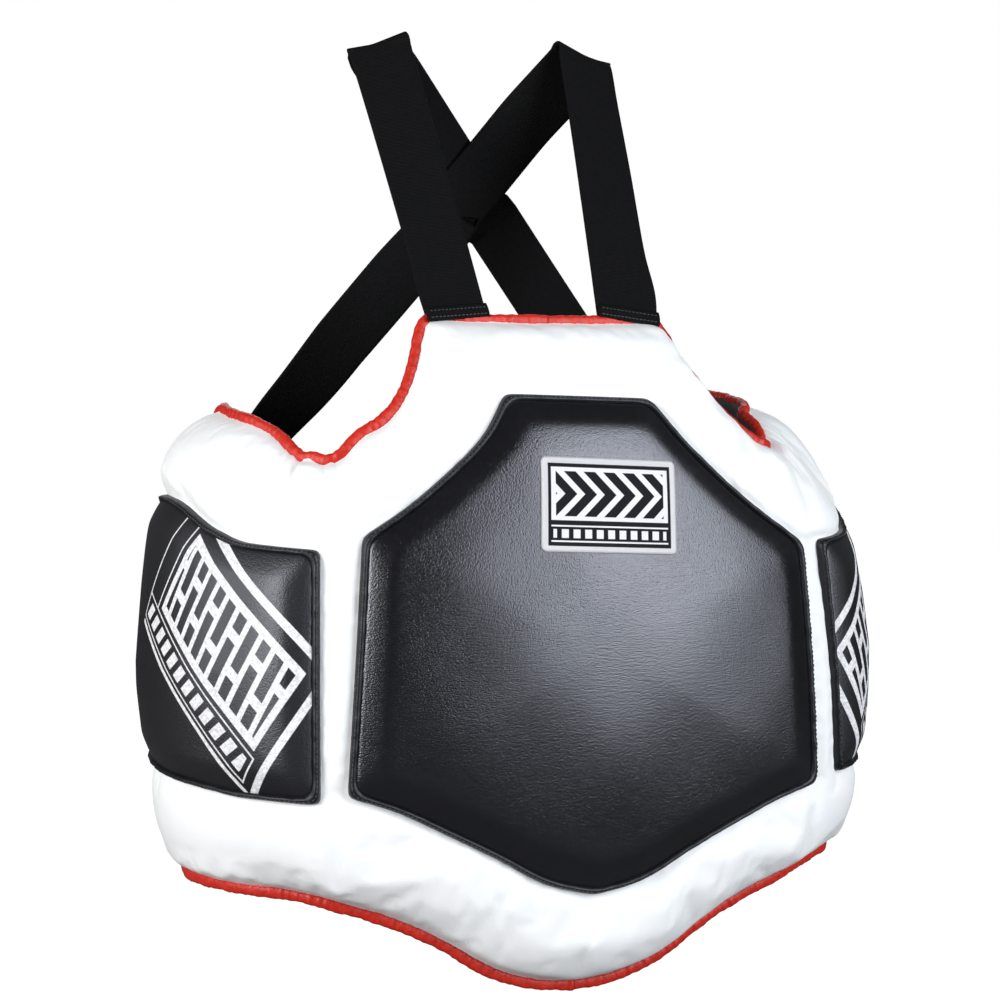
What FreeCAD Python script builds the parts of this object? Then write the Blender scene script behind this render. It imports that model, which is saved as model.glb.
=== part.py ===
"""Chest protector: a padded bib with two flexing side wings, strike pads, bound edges,
two shoulder straps that cross behind, and an elastic belt that closes the back.

Frame: +Z up, +X towards the wearer's left, the chest faces -Y. The origin lies on the
plane of symmetry, at the height of the hem's lowest point, in the vertical plane that
touches the foremost point of the lining. Millimetres.
"""
import FreeCAD, Part
import math
import os
import Sketcher

V = FreeCAD.Vector

DIMENSIONS = [
    # plan curve of the lining, front to back: chest arc, tight turn, wing arc
    ("front_radius", 1080.0),
    ("front_angle", 9.0),
    ("turn_radius", 82.0),
    ("turn_angle", 64.0),
    ("wing_radius", 150.0),
    ("wing_angle", 158.0),
    # the chest is also crowned from top to bottom
    ("crown_radius", 1466.0),
    ("crown_height", 253.0),
    ("front_half_sweep", 9.7),
    ("pad_half_sweep", 10.4),
    # layers, as distances outwards from the lining's inner face
    ("lining_outer", 1.5),
    ("comfort_inner", 1.6),
    ("comfort_outer", 8.0),
    ("impact_inner", 8.2),
    ("impact_outer", 41.0),
    ("cover_inner", 41.1),
    ("cover_outer", 42.6),
    ("pad_inner", 42.9),
    ("pad_welt_outer", 47.0),
    ("pad_foam_outer", 54.0),
    ("pad_cover_outer", 55.4),
    ("binding_inner", 8.6),
    ("binding_outer", 13.0),
    ("binding_width", 7.0),
    ("binding_gap", 0.3),
    ("neck_binding_gap", 1.5),
    # outline of the chest
    ("neck_height", 507.0),
    ("neck_half_width", 101.0),
    ("armhole_mid_x", 127.0),
    ("armhole_mid_z", 456.0),
    ("armhole_end_x", 190.0),
    ("armhole_low", 403.0),
    ("hem_half_wave", 225.0),
    ("hem_rise", 84.0),
    # outline of the wings
    ("wing_top_mid_angle", 40.0),
    ("wing_hem_mid_angle", 42.0),
    ("wing_join_angle", 68.0),
    ("wing_peak_angle", 112.0),
    ("wing_top_front", 417.0),
    ("wing_top_mid", 438.0),
    ("wing_top_peak", 452.0),
    ("wing_top_rear", 436.0),
    ("wing_hem_front", 72.0),
    ("wing_hem_mid", 81.0),
    ("wing_hem_join", 86.0),
    ("wing_hem_rear", 88.0),
    ("foam_end_angle", 155.6),
    ("impact_inset", 10.0),
    # chest pad outline
    ("pad_top", 447.0),
    ("pad_top_half", 60.0),
    ("pad_shoulder_z", 340.0),
    ("pad_shoulder_x", 179.0),
    ("pad_corner_z", 156.0),
    ("pad_corner_x", 189.0),
    ("pad_tip", 77.0),
    ("pad_shoulder_sag", 9.0),
    ("welt_width", 6.0),
    ("pad_gap", 0.3),
    # side pad outline
    ("side_pad_front_angle", 25.0),
    ("side_pad_step_start", 50.0),
    ("side_pad_step_middle", 66.0),
    ("side_pad_step_end", 82.0),
    ("side_pad_peak_angle", 104.0),
    ("side_pad_rear_angle", 128.0),
    ("side_pad_top", 341.0),
    ("side_pad_top_slope", 6.0),
    ("side_pad_step_rise", 22.0),
    ("side_pad_peak", 388.0),
    ("side_pad_peak_slope", 3.0),
    ("side_pad_rear_drop", 12.0),
    ("side_pad_bottom", 153.0),
    ("side_pad_bottom_sag", 6.0),
    ("side_pad_rear_rise", 22.0),
    ("side_pad_gap", 0.4),
    # label
    ("label_width", 107.0),
    ("label_height", 69.0),
    ("label_x", 9.0),
    ("label_z", 365.0),
    ("label_tilt", 2.5),
    ("label_inner", 55.6),
    ("label_outer", 56.8),
    # flex line between chest and wing
    ("flex_angle", 19.4),
    ("flex_depth", 8.0),
    ("flex_notch", 13.0),
    ("flex_gap", 0.3),
    # shoulder straps
    ("strap_width", 50.0),
    ("strap_thickness", 2.2),
    ("strap_x", 68.0),
    ("strap_y", 13.0),
    ("strap_bottom", 500.5),
    ("strap_lean", 0.3),
    ("strap_turn_height", 12.0),
    ("strap_turn_thickness", 2.4),
    ("strap_turn_ahead", 4.6),
    ("strap_turn_lift", 0.2),
    ("fold_inner_x", 62.0),
    ("fold_outer_x", 114.0),
    ("fold_y", 142.0),
    ("fold_inner_z", 738.0),
    ("fold_outer_z", 719.0),
    ("fold_radius", 4.5),
    ("fold_arch", 0.9),
    ("strap_cross_gap", 3.3),
    ("strap_end_angle", 137.0),
    ("strap_end_z", 352.0),
    ("strap_end_inset", 6.0),
    ("anchor_low", 268.0),
    ("anchor_height", 62.0),
    ("anchor_inner", -3.0),
    ("anchor_outer", -0.2),
    ("anchor_half_angle", 9.0),
    # back closure
    ("belt_low", 205.0),
    ("belt_height", 120.0),
    ("loop_outer", 44.0),
    ("hook_inner", 44.2),
    ("hook_outer", 45.6),
    ("belt_inner", 45.8),
    ("belt_outer", 48.0),
    ("loop_angle", 133.0),
    ("belt_anchor_angle", 140.0),
    ("hook_angle", 142.0),
    ("panel_end_gap", 0.6),
    ("belt_lead_angle", 0.5),
    ("belt_overhang", 3.0),
    ("tab_angle", 8.0),
    ("tab_gap_angle", 0.8),
    ("tab_low", 245.0),
    ("tab_height", 40.0),
]

doc = FreeCAD.newDocument("chest_protector")
sheet = doc.addObject("Spreadsheet::Sheet", "dims")
for row, (alias, value) in enumerate(DIMENSIONS, start=1):
    sheet.set(f"A{row}", alias)
    sheet.set(f"B{row}", str(value))
    sheet.setAlias(f"B{row}", alias)
doc.recompute()

D = {alias: float(sheet.get(alias)) for alias, _ in DIMENSIONS}
NODES = []
FAR = 900.0     # half-size of the rectangle that a trimming sketch removes
BEYOND = 6.0    # how far an untrimmed profile passes its outline
LEAD = 6.0      # degrees that a wing's outline starts ahead of its flex line
PAST_REAR = 2.0  # degrees that a wing's outline runs past its rear end
END_GAP = 0.2   # degrees between a wing's layers and its rear binding


# ---------------------------------------------------------------- plan curve
def polar(centre, radius, angle):
    """Point at a normal direction given in degrees from straight ahead (-Y)."""
    a = math.radians(angle)
    return V(centre.x + radius * math.sin(a), centre.y - radius * math.cos(a), 0)


FRONT_CENTRE = V(0, D["front_radius"], 0)
turn_start = polar(FRONT_CENTRE, D["front_radius"], D["front_angle"])
TURN_CENTRE = polar(turn_start, -D["turn_radius"], D["front_angle"])
wing_start = polar(TURN_CENTRE, D["turn_radius"], D["turn_angle"])
WING_CENTRE = polar(wing_start, -D["wing_radius"], D["turn_angle"])


def wall(angle, offset):
    """Plan point of the side wall: normal direction and distance out from the lining."""
    if angle <= D["turn_angle"]:
        return polar(TURN_CENTRE, D["turn_radius"] + offset, angle)
    return polar(WING_CENTRE, D["wing_radius"] + offset, angle)


FLEX = wall(D["flex_angle"], D["flex_depth"])


def notch_angle(offset):
    """Normal direction where the wing's notch face meets a given layer."""
    if offset <= D["flex_depth"]:
        return D["flex_angle"] + math.degrees(D["flex_gap"] / (D["turn_radius"] + offset))
    lean = math.radians(D["flex_angle"] + D["flex_notch"])
    step = V(math.sin(lean), -math.cos(lean), 0)
    rel = FLEX - TURN_CENTRE
    dot = rel.dot(step)
    reach = (D["turn_radius"] + offset) ** 2 - rel.dot(rel)
    point = rel + step * (-dot + math.sqrt(dot * dot + reach))
    return math.degrees(math.atan2(point.x, -point.y))


# ---------------------------------------------------------------- sketch helpers
def plane(body, role):
    return next(o for o in body.Origin.OriginFeatures if o.Role == role)


def new_body(label):
    body = doc.addObject("PartDesign::Body", label)
    body.Label = label
    NODES.append(body)
    return body


def new_sketch(body, role, name):
    sketch = body.newObject("Sketcher::SketchObject", name)
    sketch.AttachmentSupport = [(plane(body, role), "")]
    sketch.MapMode = "FlatFace"
    return sketch


def line(a, b):
    return Part.LineSegment(a, b)


def arc(a, middle, b):
    return Part.Arc(a, middle, b)


def mid_of(curve):
    return curve.value((curve.FirstParameter + curve.LastParameter) / 2)


def counter_clockwise(edge):
    """The same edge, with an arc turned round where it runs clockwise."""
    if isinstance(edge, Part.LineSegment):
        return edge
    middle = mid_of(edge)
    turn = (middle - edge.StartPoint).cross(edge.EndPoint - middle).z
    return arc(edge.EndPoint, middle, edge.StartPoint) if turn < 0 else edge


def close_loop(sketch, edges):
    """Add a closed chain of edges and tie each end to the next start."""
    ids = [sketch.addGeometry(counter_clockwise(edge), False) for edge in edges]
    ends = [(edge.StartPoint, edge.EndPoint) for edge in
            (sketch.Geometry[i] for i in ids)]
    used = []
    for k, i in enumerate(ids):
        j = ids[(k + 1) % len(ids)]
        nxt = ends[(k + 1) % len(ids)]
        pair = min(((p, q) for p in (0, 1) for q in (0, 1)),
                   key=lambda pq: (ends[k][pq[0]] - nxt[pq[1]]).Length)
        used.append(Sketcher.Constraint("Coincident", i, pair[0] + 1, j, pair[1] + 1))
    sketch.addConstraint(used)
    return ids


def bind_radius(sketch, geometry_id, expression):
    """Tie an arc's radius to cells of the sheet."""
    radius = sketch.Geometry[geometry_id].Radius
    index = sketch.addConstraint(Sketcher.Constraint("Radius", geometry_id, radius))
    sketch.setExpression(f"Constraints[{index}]", expression)


def frame_loop(sketch):
    """Outer rectangle, so that a pocket removes everything outside the inner loop."""
    corners = [V(-FAR, -FAR, 0), V(FAR, -FAR, 0), V(FAR, FAR, 0), V(-FAR, FAR, 0)]
    close_loop(sketch, [line(corners[i], corners[(i + 1) % 4]) for i in range(4)])


def pocket_through(body, sketch, name):
    pocket = body.newObject("PartDesign::Pocket", name)
    pocket.Profile = sketch
    pocket.SideType = "Symmetric"
    pocket.Type = "ThroughAll"


def trim_outside(body, role, loops):
    """Cut a body back to an outline."""
    sketch = new_sketch(body, role, body.Label + "_outline")
    frame_loop(sketch)
    close_loop(sketch, loops)
    pocket_through(body, sketch, body.Label + "_trim")


def cut_window(body, role, loops):
    """Cut an opening through the middle of a body."""
    sketch = new_sketch(body, role, body.Label + "_window")
    close_loop(sketch, loops)
    pocket_through(body, sketch, body.Label + "_opening")


# ---------------------------------------------------------------- chest layers
def crown_point(offset, height):
    """Local point of a chest layer's profile; the local Y axis starts at the plan centre."""
    mid = D["crown_height"]
    radius = D["crown_radius"] + offset
    back = radius - math.sqrt(radius**2 - (height - mid) ** 2)
    return V(back - offset - D["front_radius"], height, 0)


def chest_layer(label, inner, outer, outline):
    """Barrel-shaped layer of the chest, revolved about the plan centre and trimmed."""
    body = new_body(label)
    body.setExpression("Placement.Base.y", "dims.front_radius")
    sketch = new_sketch(body, "YZ_Plane", label + "_profile")
    low, mid, high = -BEYOND, D["crown_height"], D["neck_height"] + BEYOND
    a, b = D[inner], D[outer]
    ids = close_loop(sketch, [
        arc(crown_point(a, low), crown_point(a, mid), crown_point(a, high)),
        line(crown_point(a, high), crown_point(b, high)),
        arc(crown_point(b, high), crown_point(b, mid), crown_point(b, low)),
        line(crown_point(b, low), crown_point(a, low)),
    ])
    bind_radius(sketch, ids[0], f"dims.crown_radius + dims.{inner}")
    bind_radius(sketch, ids[2], f"dims.crown_radius + dims.{outer}")
    turn = body.newObject("PartDesign::Revolution", label + "_revolve")
    turn.Profile = sketch
    turn.ReferenceAxis = (sketch, ["V_Axis"])
    turn.Midplane = True
    sweep = "pad_half_sweep" if inner.startswith("pad") else "front_half_sweep"
    turn.setExpression("Angle", f"2 * dims.{sweep}")
    trim_outside(body, "XZ_Plane", outline)
    return body


def hem_curve(lift):
    """The hem's wave from right to left: two concave ends and a convex middle."""
    x2, z2 = D["hem_half_wave"] / 2, D["hem_rise"] / 2
    half = math.atan(z2 / x2)
    radius = x2 / math.sin(2 * half)
    x_mid = D["hem_half_wave"] - radius * math.sin(half)
    z_mid = D["hem_rise"] - radius * (1 - math.cos(half)) + lift
    side = V(D["hem_half_wave"], D["hem_rise"] + lift, 0)
    return [
        arc(side, V(x_mid, z_mid, 0), V(x2, z2 + lift, 0)),
        arc(V(x2, z2 + lift, 0), V(0, lift, 0), V(-x2, z2 + lift, 0)),
        arc(V(-x2, z2 + lift, 0), V(-x_mid, z_mid, 0), V(-side.x, side.y, 0)),
    ]


def armhole_curve(sign, inset):
    """Concave edge from the neck corner to the low point of the armhole."""
    return arc(V(sign * (D["neck_half_width"] - inset), D["neck_height"], 0),
               V(sign * (D["armhole_mid_x"] - 0.9 * inset), D["armhole_mid_z"] - 0.6 * inset, 0),
               V(sign * D["armhole_end_x"], D["armhole_low"] - inset, 0))


def chest_outline(inset):
    """Closed outline of the chest, set in from the bound edge."""
    neck_x, neck_z = D["neck_half_width"] - inset, D["neck_height"] - inset
    side_x, side_z = D["hem_half_wave"], D["armhole_low"] - inset
    hem_z = D["hem_rise"] + inset

    def armhole(sign):
        edge = armhole_curve(sign, inset)
        return arc(V(sign * neck_x, neck_z, 0), mid_of(edge), edge.EndPoint)

    return [
        line(V(-neck_x, neck_z, 0), V(neck_x, neck_z, 0)),
        armhole(1),
        line(V(D["armhole_end_x"], side_z, 0), V(side_x, side_z, 0)),
        line(V(side_x, side_z, 0), V(side_x, hem_z, 0)),
        *hem_curve(inset),
        line(V(-side_x, hem_z, 0), V(-side_x, side_z, 0)),
        line(V(-side_x, side_z, 0), V(-D["armhole_end_x"], side_z, 0)),
        armhole(-1),
    ]


# where the chest pad's lower arcs pass or meet, as shares of its corner's x and drop
CORNER_X, CORNER_DROP = 0.86, 0.085
BOWL_X, BOWL_DROP = 0.68, 0.26


def chest_pad_outline(inset):
    """Shield outline: flat top, concave shoulders, upright sides, rounded lower tip."""
    top, sx, sz = D["pad_top"] - inset, D["pad_shoulder_x"] - inset, D["pad_shoulder_z"]
    cx, cz, tip = D["pad_corner_x"] - inset, D["pad_corner_z"], D["pad_tip"] + inset
    tx = D["pad_top_half"] - 0.5 * inset

    def shoulder(sign):
        """Middle of a shoulder's arc, set in from the straight line by the sag."""
        mx, mz = (tx + sx) / 2, (top + sz) / 2
        nx, nz = top - sz, sx - tx
        shift = D["pad_shoulder_sag"] / math.hypot(nx, nz)
        return V(sign * (mx - nx * shift), mz - nz * shift, 0)

    meet = V(BOWL_X * cx, cz - BOWL_DROP * (cz - tip), 0)
    low = [V(cx, cz, 0), V(CORNER_X * cx, cz - CORNER_DROP * (cz - tip), 0), meet]
    return [
        line(V(-tx, top, 0), V(tx, top, 0)),
        arc(V(tx, top, 0), shoulder(1), V(sx, sz, 0)),
        line(V(sx, sz, 0), V(cx, cz, 0)),
        arc(*low),
        arc(meet, V(0, tip, 0), V(-meet.x, meet.y, 0)),
        arc(*[V(-p.x, p.y, 0) for p in reversed(low)]),
        line(V(-cx, cz, 0), V(-sx, sz, 0)),
        arc(V(-sx, sz, 0), shoulder(-1), V(-tx, top, 0)),
    ]


def label_outline():
    """Rectangle turned a little about its own middle."""
    tilt = math.radians(D["label_tilt"])
    corners = []
    for sx, sz in ((-1, -1), (1, -1), (1, 1), (-1, 1)):
        dx, dz = sx * D["label_width"] / 2, sz * D["label_height"] / 2
        corners.append(V(D["label_x"] + dx * math.cos(tilt) + dz * math.sin(tilt),
                         D["label_z"] - dx * math.sin(tilt) + dz * math.cos(tilt), 0))
    return [line(corners[i], corners[(i + 1) % 4]) for i in range(4)]


def edge_strip(outer, inner):
    """Closed outline of a strip between two curves that run the same way."""
    return [outer, line(outer.EndPoint, inner.EndPoint), inner,
            line(inner.StartPoint, outer.StartPoint)]


def build_chest():
    w = D["binding_width"]
    inset = w + D["binding_gap"]
    for label, inner, outer in (
            ("chest_lining", "flex_gap", "lining_outer"),
            ("chest_comfort_foam", "comfort_inner", "comfort_outer"),
            ("chest_impact_foam", "impact_inner", "impact_outer"),
            ("chest_cover", "cover_inner", "cover_outer")):
        chest_layer(label, inner, outer, chest_outline(inset))
    neck_x = D["strap_x"] - D["strap_width"] / 2 - D["neck_binding_gap"]
    neck_z = D["neck_height"]
    neck = [V(-neck_x, neck_z, 0), V(neck_x, neck_z, 0),
            V(neck_x, neck_z - w, 0), V(-neck_x, neck_z - w, 0)]
    band = ("binding_inner", "binding_outer")
    chest_layer("neck_binding", *band, [line(neck[i], neck[(i + 1) % 4]) for i in range(4)])
    for name, sign in (("left", 1), ("right", -1)):
        chest_layer(f"{name}_armhole_binding", *band,
                    edge_strip(armhole_curve(sign, 0), armhole_curve(sign, w)))
    outer, inner = hem_curve(0), hem_curve(w)
    ends = [line(outer[2].EndPoint, inner[2].EndPoint), line(inner[0].StartPoint, outer[0].StartPoint)]
    flipped = [arc(e.EndPoint, mid_of(e), e.StartPoint) for e in reversed(inner)]
    chest_layer("chest_hem_binding", *band, [*outer, ends[0], *flipped, ends[1]])

    welt = chest_layer("chest_pad_welt", "pad_inner", "pad_welt_outer", chest_pad_outline(0))
    cut_window(welt, "XZ_Plane", chest_pad_outline(D["welt_width"]))
    within = chest_pad_outline(D["welt_width"] + D["pad_gap"])
    chest_layer("chest_pad_foam", "pad_inner", "pad_foam_outer", within)
    chest_layer("chest_pad_cover", "pad_foam_outer", "pad_cover_outer", within)
    chest_layer("label_patch", "label_inner", "label_outer", label_outline())


# ---------------------------------------------------------------- wing layers
def wall_band(sketch, inner, outer, start, end, sign):
    """Closed plan outline between two offsets of the wall, from one angle to another."""
    turn = D["turn_angle"]
    starts = [start(offset) if callable(start) else start for offset in (inner, outer)]
    rails = []

    def flip(p):
        return V(sign * p.x, p.y, 0)

    for offset, first in zip((inner, outer), starts):
        rail = []
        if first < turn:
            half = (first + turn) / 2
            rail.append(arc(*(flip(wall(t, offset)) for t in (first, half, turn))))
            first = turn
        half = (first + end) / 2
        tail = [polar(WING_CENTRE, D["wing_radius"] + offset, t) for t in (first, half, end)]
        rail.append(arc(*(flip(p) for p in tail)))
        rails.append(rail)
    edges = list(rails[0])
    edges.append(line(flip(wall(end, inner)), flip(wall(end, outer))))
    edges += list(reversed(rails[1]))
    edges.append(line(flip(wall(starts[1], outer)), flip(wall(starts[0], inner))))
    ids = close_loop(sketch, edges)
    return ids, len(rails[0]) - 1, len(rails[0]) + 1


def wing_layer(label, inner, outer, start, end, sign, outline=None, base=None, height=None):
    """Curved layer of a wing, padded upwards and then trimmed to its side outline."""
    body = new_body(label)
    sketch = new_sketch(body, "XY_Plane", label + "_plan")
    ids, arc_in, arc_out = wall_band(sketch, D[inner], D[outer], start, end, sign)
    bind_radius(sketch, ids[arc_in], f"dims.wing_radius + dims.{inner}")
    bind_radius(sketch, ids[arc_out], f"dims.wing_radius + dims.{outer}")
    pad = body.newObject("PartDesign::Pad", label + "_pad")
    pad.Profile = sketch
    pad.setExpression("Length", f"dims.{height}" if height else "dims.neck_height")
    if base:
        body.setExpression("Placement.Base.z", f"dims.{base}")
    if outline:
        trim_outside(body, "YZ_Plane", outline((D[inner] + D[outer]) / 2))
    return body


def side_point(angle, offset, height):
    """Point of a wing's side outline: depth of the wall at that angle, and height."""
    return V(wall(angle, offset).y, height, 0)


def top_edge(offset, lower):
    """A wing's top edge from front to rear, lowered by a distance."""
    join = side_point(D["wing_join_angle"], offset, D["wing_top_mid"] - lower)
    return [
        arc(side_point(D["flex_angle"] - LEAD, offset, D["armhole_low"] - 1 - lower),
            side_point(D["wing_top_mid_angle"], offset, D["wing_top_front"] - lower), join),
        arc(join, side_point(D["wing_peak_angle"], offset, D["wing_top_peak"] - lower),
            side_point(D["wing_angle"] + PAST_REAR, offset, D["wing_top_rear"] - lower)),
    ]


def hem_edge(offset, lift):
    """A wing's hem from front to rear, raised by a distance."""
    join = side_point(D["wing_join_angle"], offset, D["wing_hem_join"] + lift)
    return [
        arc(side_point(D["flex_angle"] - LEAD, offset, D["wing_hem_front"] + lift),
            side_point(D["wing_hem_mid_angle"], offset, D["wing_hem_mid"] + lift), join),
        line(join, side_point(D["wing_angle"] + PAST_REAR, offset, D["wing_hem_rear"] + lift)),
    ]


def reversed_chain(edges):
    out = []
    for e in reversed(edges):
        flat = isinstance(e, Part.LineSegment)
        out.append(line(e.EndPoint, e.StartPoint) if flat
                   else arc(e.EndPoint, mid_of(e), e.StartPoint))
    return out


def joined(upper, lower):
    """Closed outline between an upper and a lower chain that both run front to back."""
    return [*upper, line(upper[-1].EndPoint, lower[-1].EndPoint),
            *reversed_chain(lower), line(lower[0].StartPoint, upper[0].StartPoint)]


def side_pad_outline(offset, inset):
    """Side pad: level front part, raised towards the rear of the wing."""
    scale = math.degrees(inset / (D["wing_radius"] + offset))
    a0 = D["side_pad_front_angle"] + 1.6 * scale
    a1 = D["side_pad_rear_angle"] - scale
    top, peak = D["side_pad_top"] - inset, D["side_pad_peak"] - inset
    low = D["side_pad_bottom"] + inset
    middle = D["side_pad_step_middle"]
    step_start = side_point(D["side_pad_step_start"], offset, top + D["side_pad_top_slope"])
    step_end = side_point(D["side_pad_step_end"], offset, peak - D["side_pad_peak_slope"])
    upper = [
        line(side_point(a0, offset, top), step_start),
        arc(step_start, side_point(middle, offset, top + D["side_pad_step_rise"]), step_end),
        arc(step_end, side_point(D["side_pad_peak_angle"], offset, peak),
            side_point(a1, offset, peak - D["side_pad_rear_drop"])),
    ]
    lower = [arc(side_point(a0, offset, low),
                 side_point(middle, offset, low + D["side_pad_bottom_sag"]),
                 side_point(a1, offset, low + D["side_pad_rear_rise"]))]
    return joined(upper, lower)


def build_wing(name, sign):
    w = D["binding_width"]
    inset = w + D["binding_gap"]
    foam_end = D["foam_end_angle"]

    def shell(offset):
        return joined(top_edge(offset, inset), hem_edge(offset, inset))

    def set_back(offset):
        more = inset + D["impact_inset"]
        return joined(top_edge(offset, more), hem_edge(offset, inset))

    for part, inner, outer in (("lining", "flex_gap", "lining_outer"),
                               ("comfort_foam", "comfort_inner", "comfort_outer"),
                               ("impact_foam", "impact_inner", "impact_outer"),
                               ("cover", "cover_inner", "cover_outer")):
        wing_layer(f"{name}_wing_{part}", inner, outer, notch_angle, foam_end, sign,
                   set_back if part == "impact_foam" else shell)
    band = ("binding_inner", "binding_outer")
    wing_layer(f"{name}_wing_top_binding", *band, notch_angle, foam_end, sign,
               lambda o: joined(top_edge(o, 0), top_edge(o, w)))
    wing_layer(f"{name}_wing_hem_binding", *band, notch_angle, foam_end, sign,
               lambda o: joined(hem_edge(o, w), hem_edge(o, 0)))
    wing_layer(f"{name}_wing_rear_binding", *band, foam_end + END_GAP, D["wing_angle"], sign,
               lambda o: joined(top_edge(o, 0), hem_edge(o, 0)))

    front, rear = D["side_pad_front_angle"], D["side_pad_rear_angle"]
    body = wing_layer(f"{name}_pad_welt", "pad_inner", "pad_welt_outer", front, rear, sign,
                      lambda o: side_pad_outline(o, 0))
    middle = (D["pad_inner"] + D["pad_foam_outer"]) / 2
    cut_window(body, "YZ_Plane", side_pad_outline(middle, D["welt_width"]))
    for part, inner, outer in (("foam", "pad_inner", "pad_foam_outer"),
                               ("cover", "pad_foam_outer", "pad_cover_outer")):
        wing_layer(f"{name}_pad_{part}", inner, outer, front, rear, sign,
                   lambda o: side_pad_outline(o, D["welt_width"] + D["side_pad_gap"]))

    middle, half = D["strap_end_angle"], D["anchor_half_angle"]
    wing_layer(f"{name}_strap_anchor", "anchor_inner", "anchor_outer", middle - half,
               middle + half, sign, base="anchor_low", height="anchor_height")


# ---------------------------------------------------------------- shoulder straps
def section(centre, along, normal, width):
    """Rectangular cross-section of the webbing."""
    a = along.normalize() * (width / 2)
    n = normal.normalize() * (D["strap_thickness"] / 2)
    corners = [centre - a - n, centre + a - n, centre + a + n, centre - a + n]
    return Part.makePolygon(corners + corners[:1])


def build_strap(name, sign):
    """Webbing from the neck edge, folded over the shoulder, to the opposite wing."""
    width = D["strap_width"]
    bottom = V(sign * D["strap_x"], D["strap_y"], D["strap_bottom"])
    fold_in = V(sign * D["fold_inner_x"], D["fold_y"], D["fold_inner_z"])
    fold_out = V(sign * D["fold_outer_x"], D["fold_y"], D["fold_outer_z"])
    fold_mid = (fold_in + fold_out) * 0.5
    fold_along = (fold_out - fold_in) * sign
    end = wall(D["strap_end_angle"], -D["strap_end_inset"])
    end = V(-sign * end.x, end.y, D["strap_end_z"])
    end_angle = math.radians(D["strap_end_angle"])
    end_normal = V(-sign * math.sin(end_angle), -math.cos(end_angle), 0)
    up = (fold_mid - bottom).normalize()
    down = (end - fold_mid).normalize()
    front_normal = up.cross(V(*fold_along)).normalize()
    back_normal = down.cross(V(*fold_along)).normalize()
    if front_normal.y > 0:
        front_normal = -front_normal
    if back_normal.y < 0:
        back_normal = -back_normal
    fold_width = (fold_out - fold_in).Length
    wires = [section(bottom, V(1, 0, 0), V(0, -1, D["strap_lean"]), width)]
    for share in (0.0, 0.25, 0.5, 0.75, 1.0):
        lift = V(0, 0, D["fold_arch"]) * math.sin(math.pi * share)
        normal = (front_normal * (1 - share) + back_normal * share + lift).normalize()
        wires.append(section(fold_mid + normal * D["fold_radius"], V(*fold_along),
                             V(*normal), fold_width))
    share = fold_mid.x / (fold_mid.x - end.x)
    cross = fold_mid + (end - fold_mid) * share + V(0, -sign * D["strap_cross_gap"], 0)
    tilt = down.cross(V(*back_normal)).normalize()
    if tilt.x < 0:
        tilt = -tilt
    wires.append(section(cross, V(*tilt), V(*back_normal), width))
    flat = down.cross(V(*end_normal)).normalize()
    if flat.x < 0:
        flat = -flat
    wires.append(section(end, flat, end_normal, width))
    strap = doc.addObject("Part::Feature", f"{name}_shoulder_strap")
    strap.Label = f"{name}_shoulder_strap"
    strap.Shape = Part.makeLoft(wires, True, True)
    NODES.append(strap)

    fold = doc.addObject("Part::Box", f"{name}_strap_fold")
    fold.Label = f"{name}_strap_fold"
    fold.setExpression("Length", "dims.strap_width")
    fold.setExpression("Width", "dims.strap_turn_thickness")
    fold.setExpression("Height", "dims.strap_turn_height")
    fold.setExpression("Placement.Base.x", f"{sign} * dims.strap_x - dims.strap_width / 2")
    fold.setExpression("Placement.Base.y", "dims.strap_y - dims.strap_turn_ahead")
    fold.setExpression("Placement.Base.z", "dims.strap_bottom + dims.strap_turn_lift")
    NODES.append(fold)


# ---------------------------------------------------------------- back closure
def build_closure():
    """Loop panel on the left wing; the belt is sewn to the right wing and hooks on."""
    end, hook = D["foam_end_angle"], D["hook_angle"]
    panel_end = end - D["panel_end_gap"]
    tall = {"base": "belt_low", "height": "belt_height"}
    wing_layer("loop_panel", "cover_outer", "loop_outer", D["loop_angle"], panel_end, 1, **tall)
    wing_layer("belt_anchor", "cover_outer", "hook_outer", D["belt_anchor_angle"],
               end - END_GAP, -1, **tall)
    wing_layer("hook_panel", "hook_inner", "hook_outer", hook, panel_end, 1, **tall)
    wing_layer("pull_tab", "belt_inner", "belt_outer", hook - D["tab_angle"],
               hook - D["tab_gap_angle"], 1, base="tab_low", height="tab_height")

    body = new_body("closure_elastic")
    body.setExpression("Placement.Base.z", "dims.belt_low")
    sketch = new_sketch(body, "XY_Plane", "closure_elastic_plan")
    first, last = hook - D["belt_lead_angle"], D["wing_angle"]
    rails = []
    for offset in (D["belt_inner"], D["belt_outer"]):
        rails.append([wall(t, offset) for t in (first, (first + last) / 2, last)])
    start_x = -(rails[0][2].x - D["belt_overhang"])
    near, far = V(start_x, rails[0][2].y, 0), V(start_x, rails[1][2].y, 0)
    close_loop(sketch, [
        line(near, rails[0][2]),
        arc(rails[0][2], rails[0][1], rails[0][0]),
        line(rails[0][0], rails[1][0]),
        arc(*rails[1]),
        line(rails[1][2], far),
        line(far, near),
    ])
    pad = body.newObject("PartDesign::Pad", "closure_elastic_pad")
    pad.Profile = sketch
    pad.setExpression("Length", "dims.belt_height")


build_chest()
for wing_name, wing_sign in (("left", 1), ("right", -1)):
    build_wing(wing_name, wing_sign)
    build_strap(wing_name, wing_sign)
build_closure()
doc.recompute()

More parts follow.
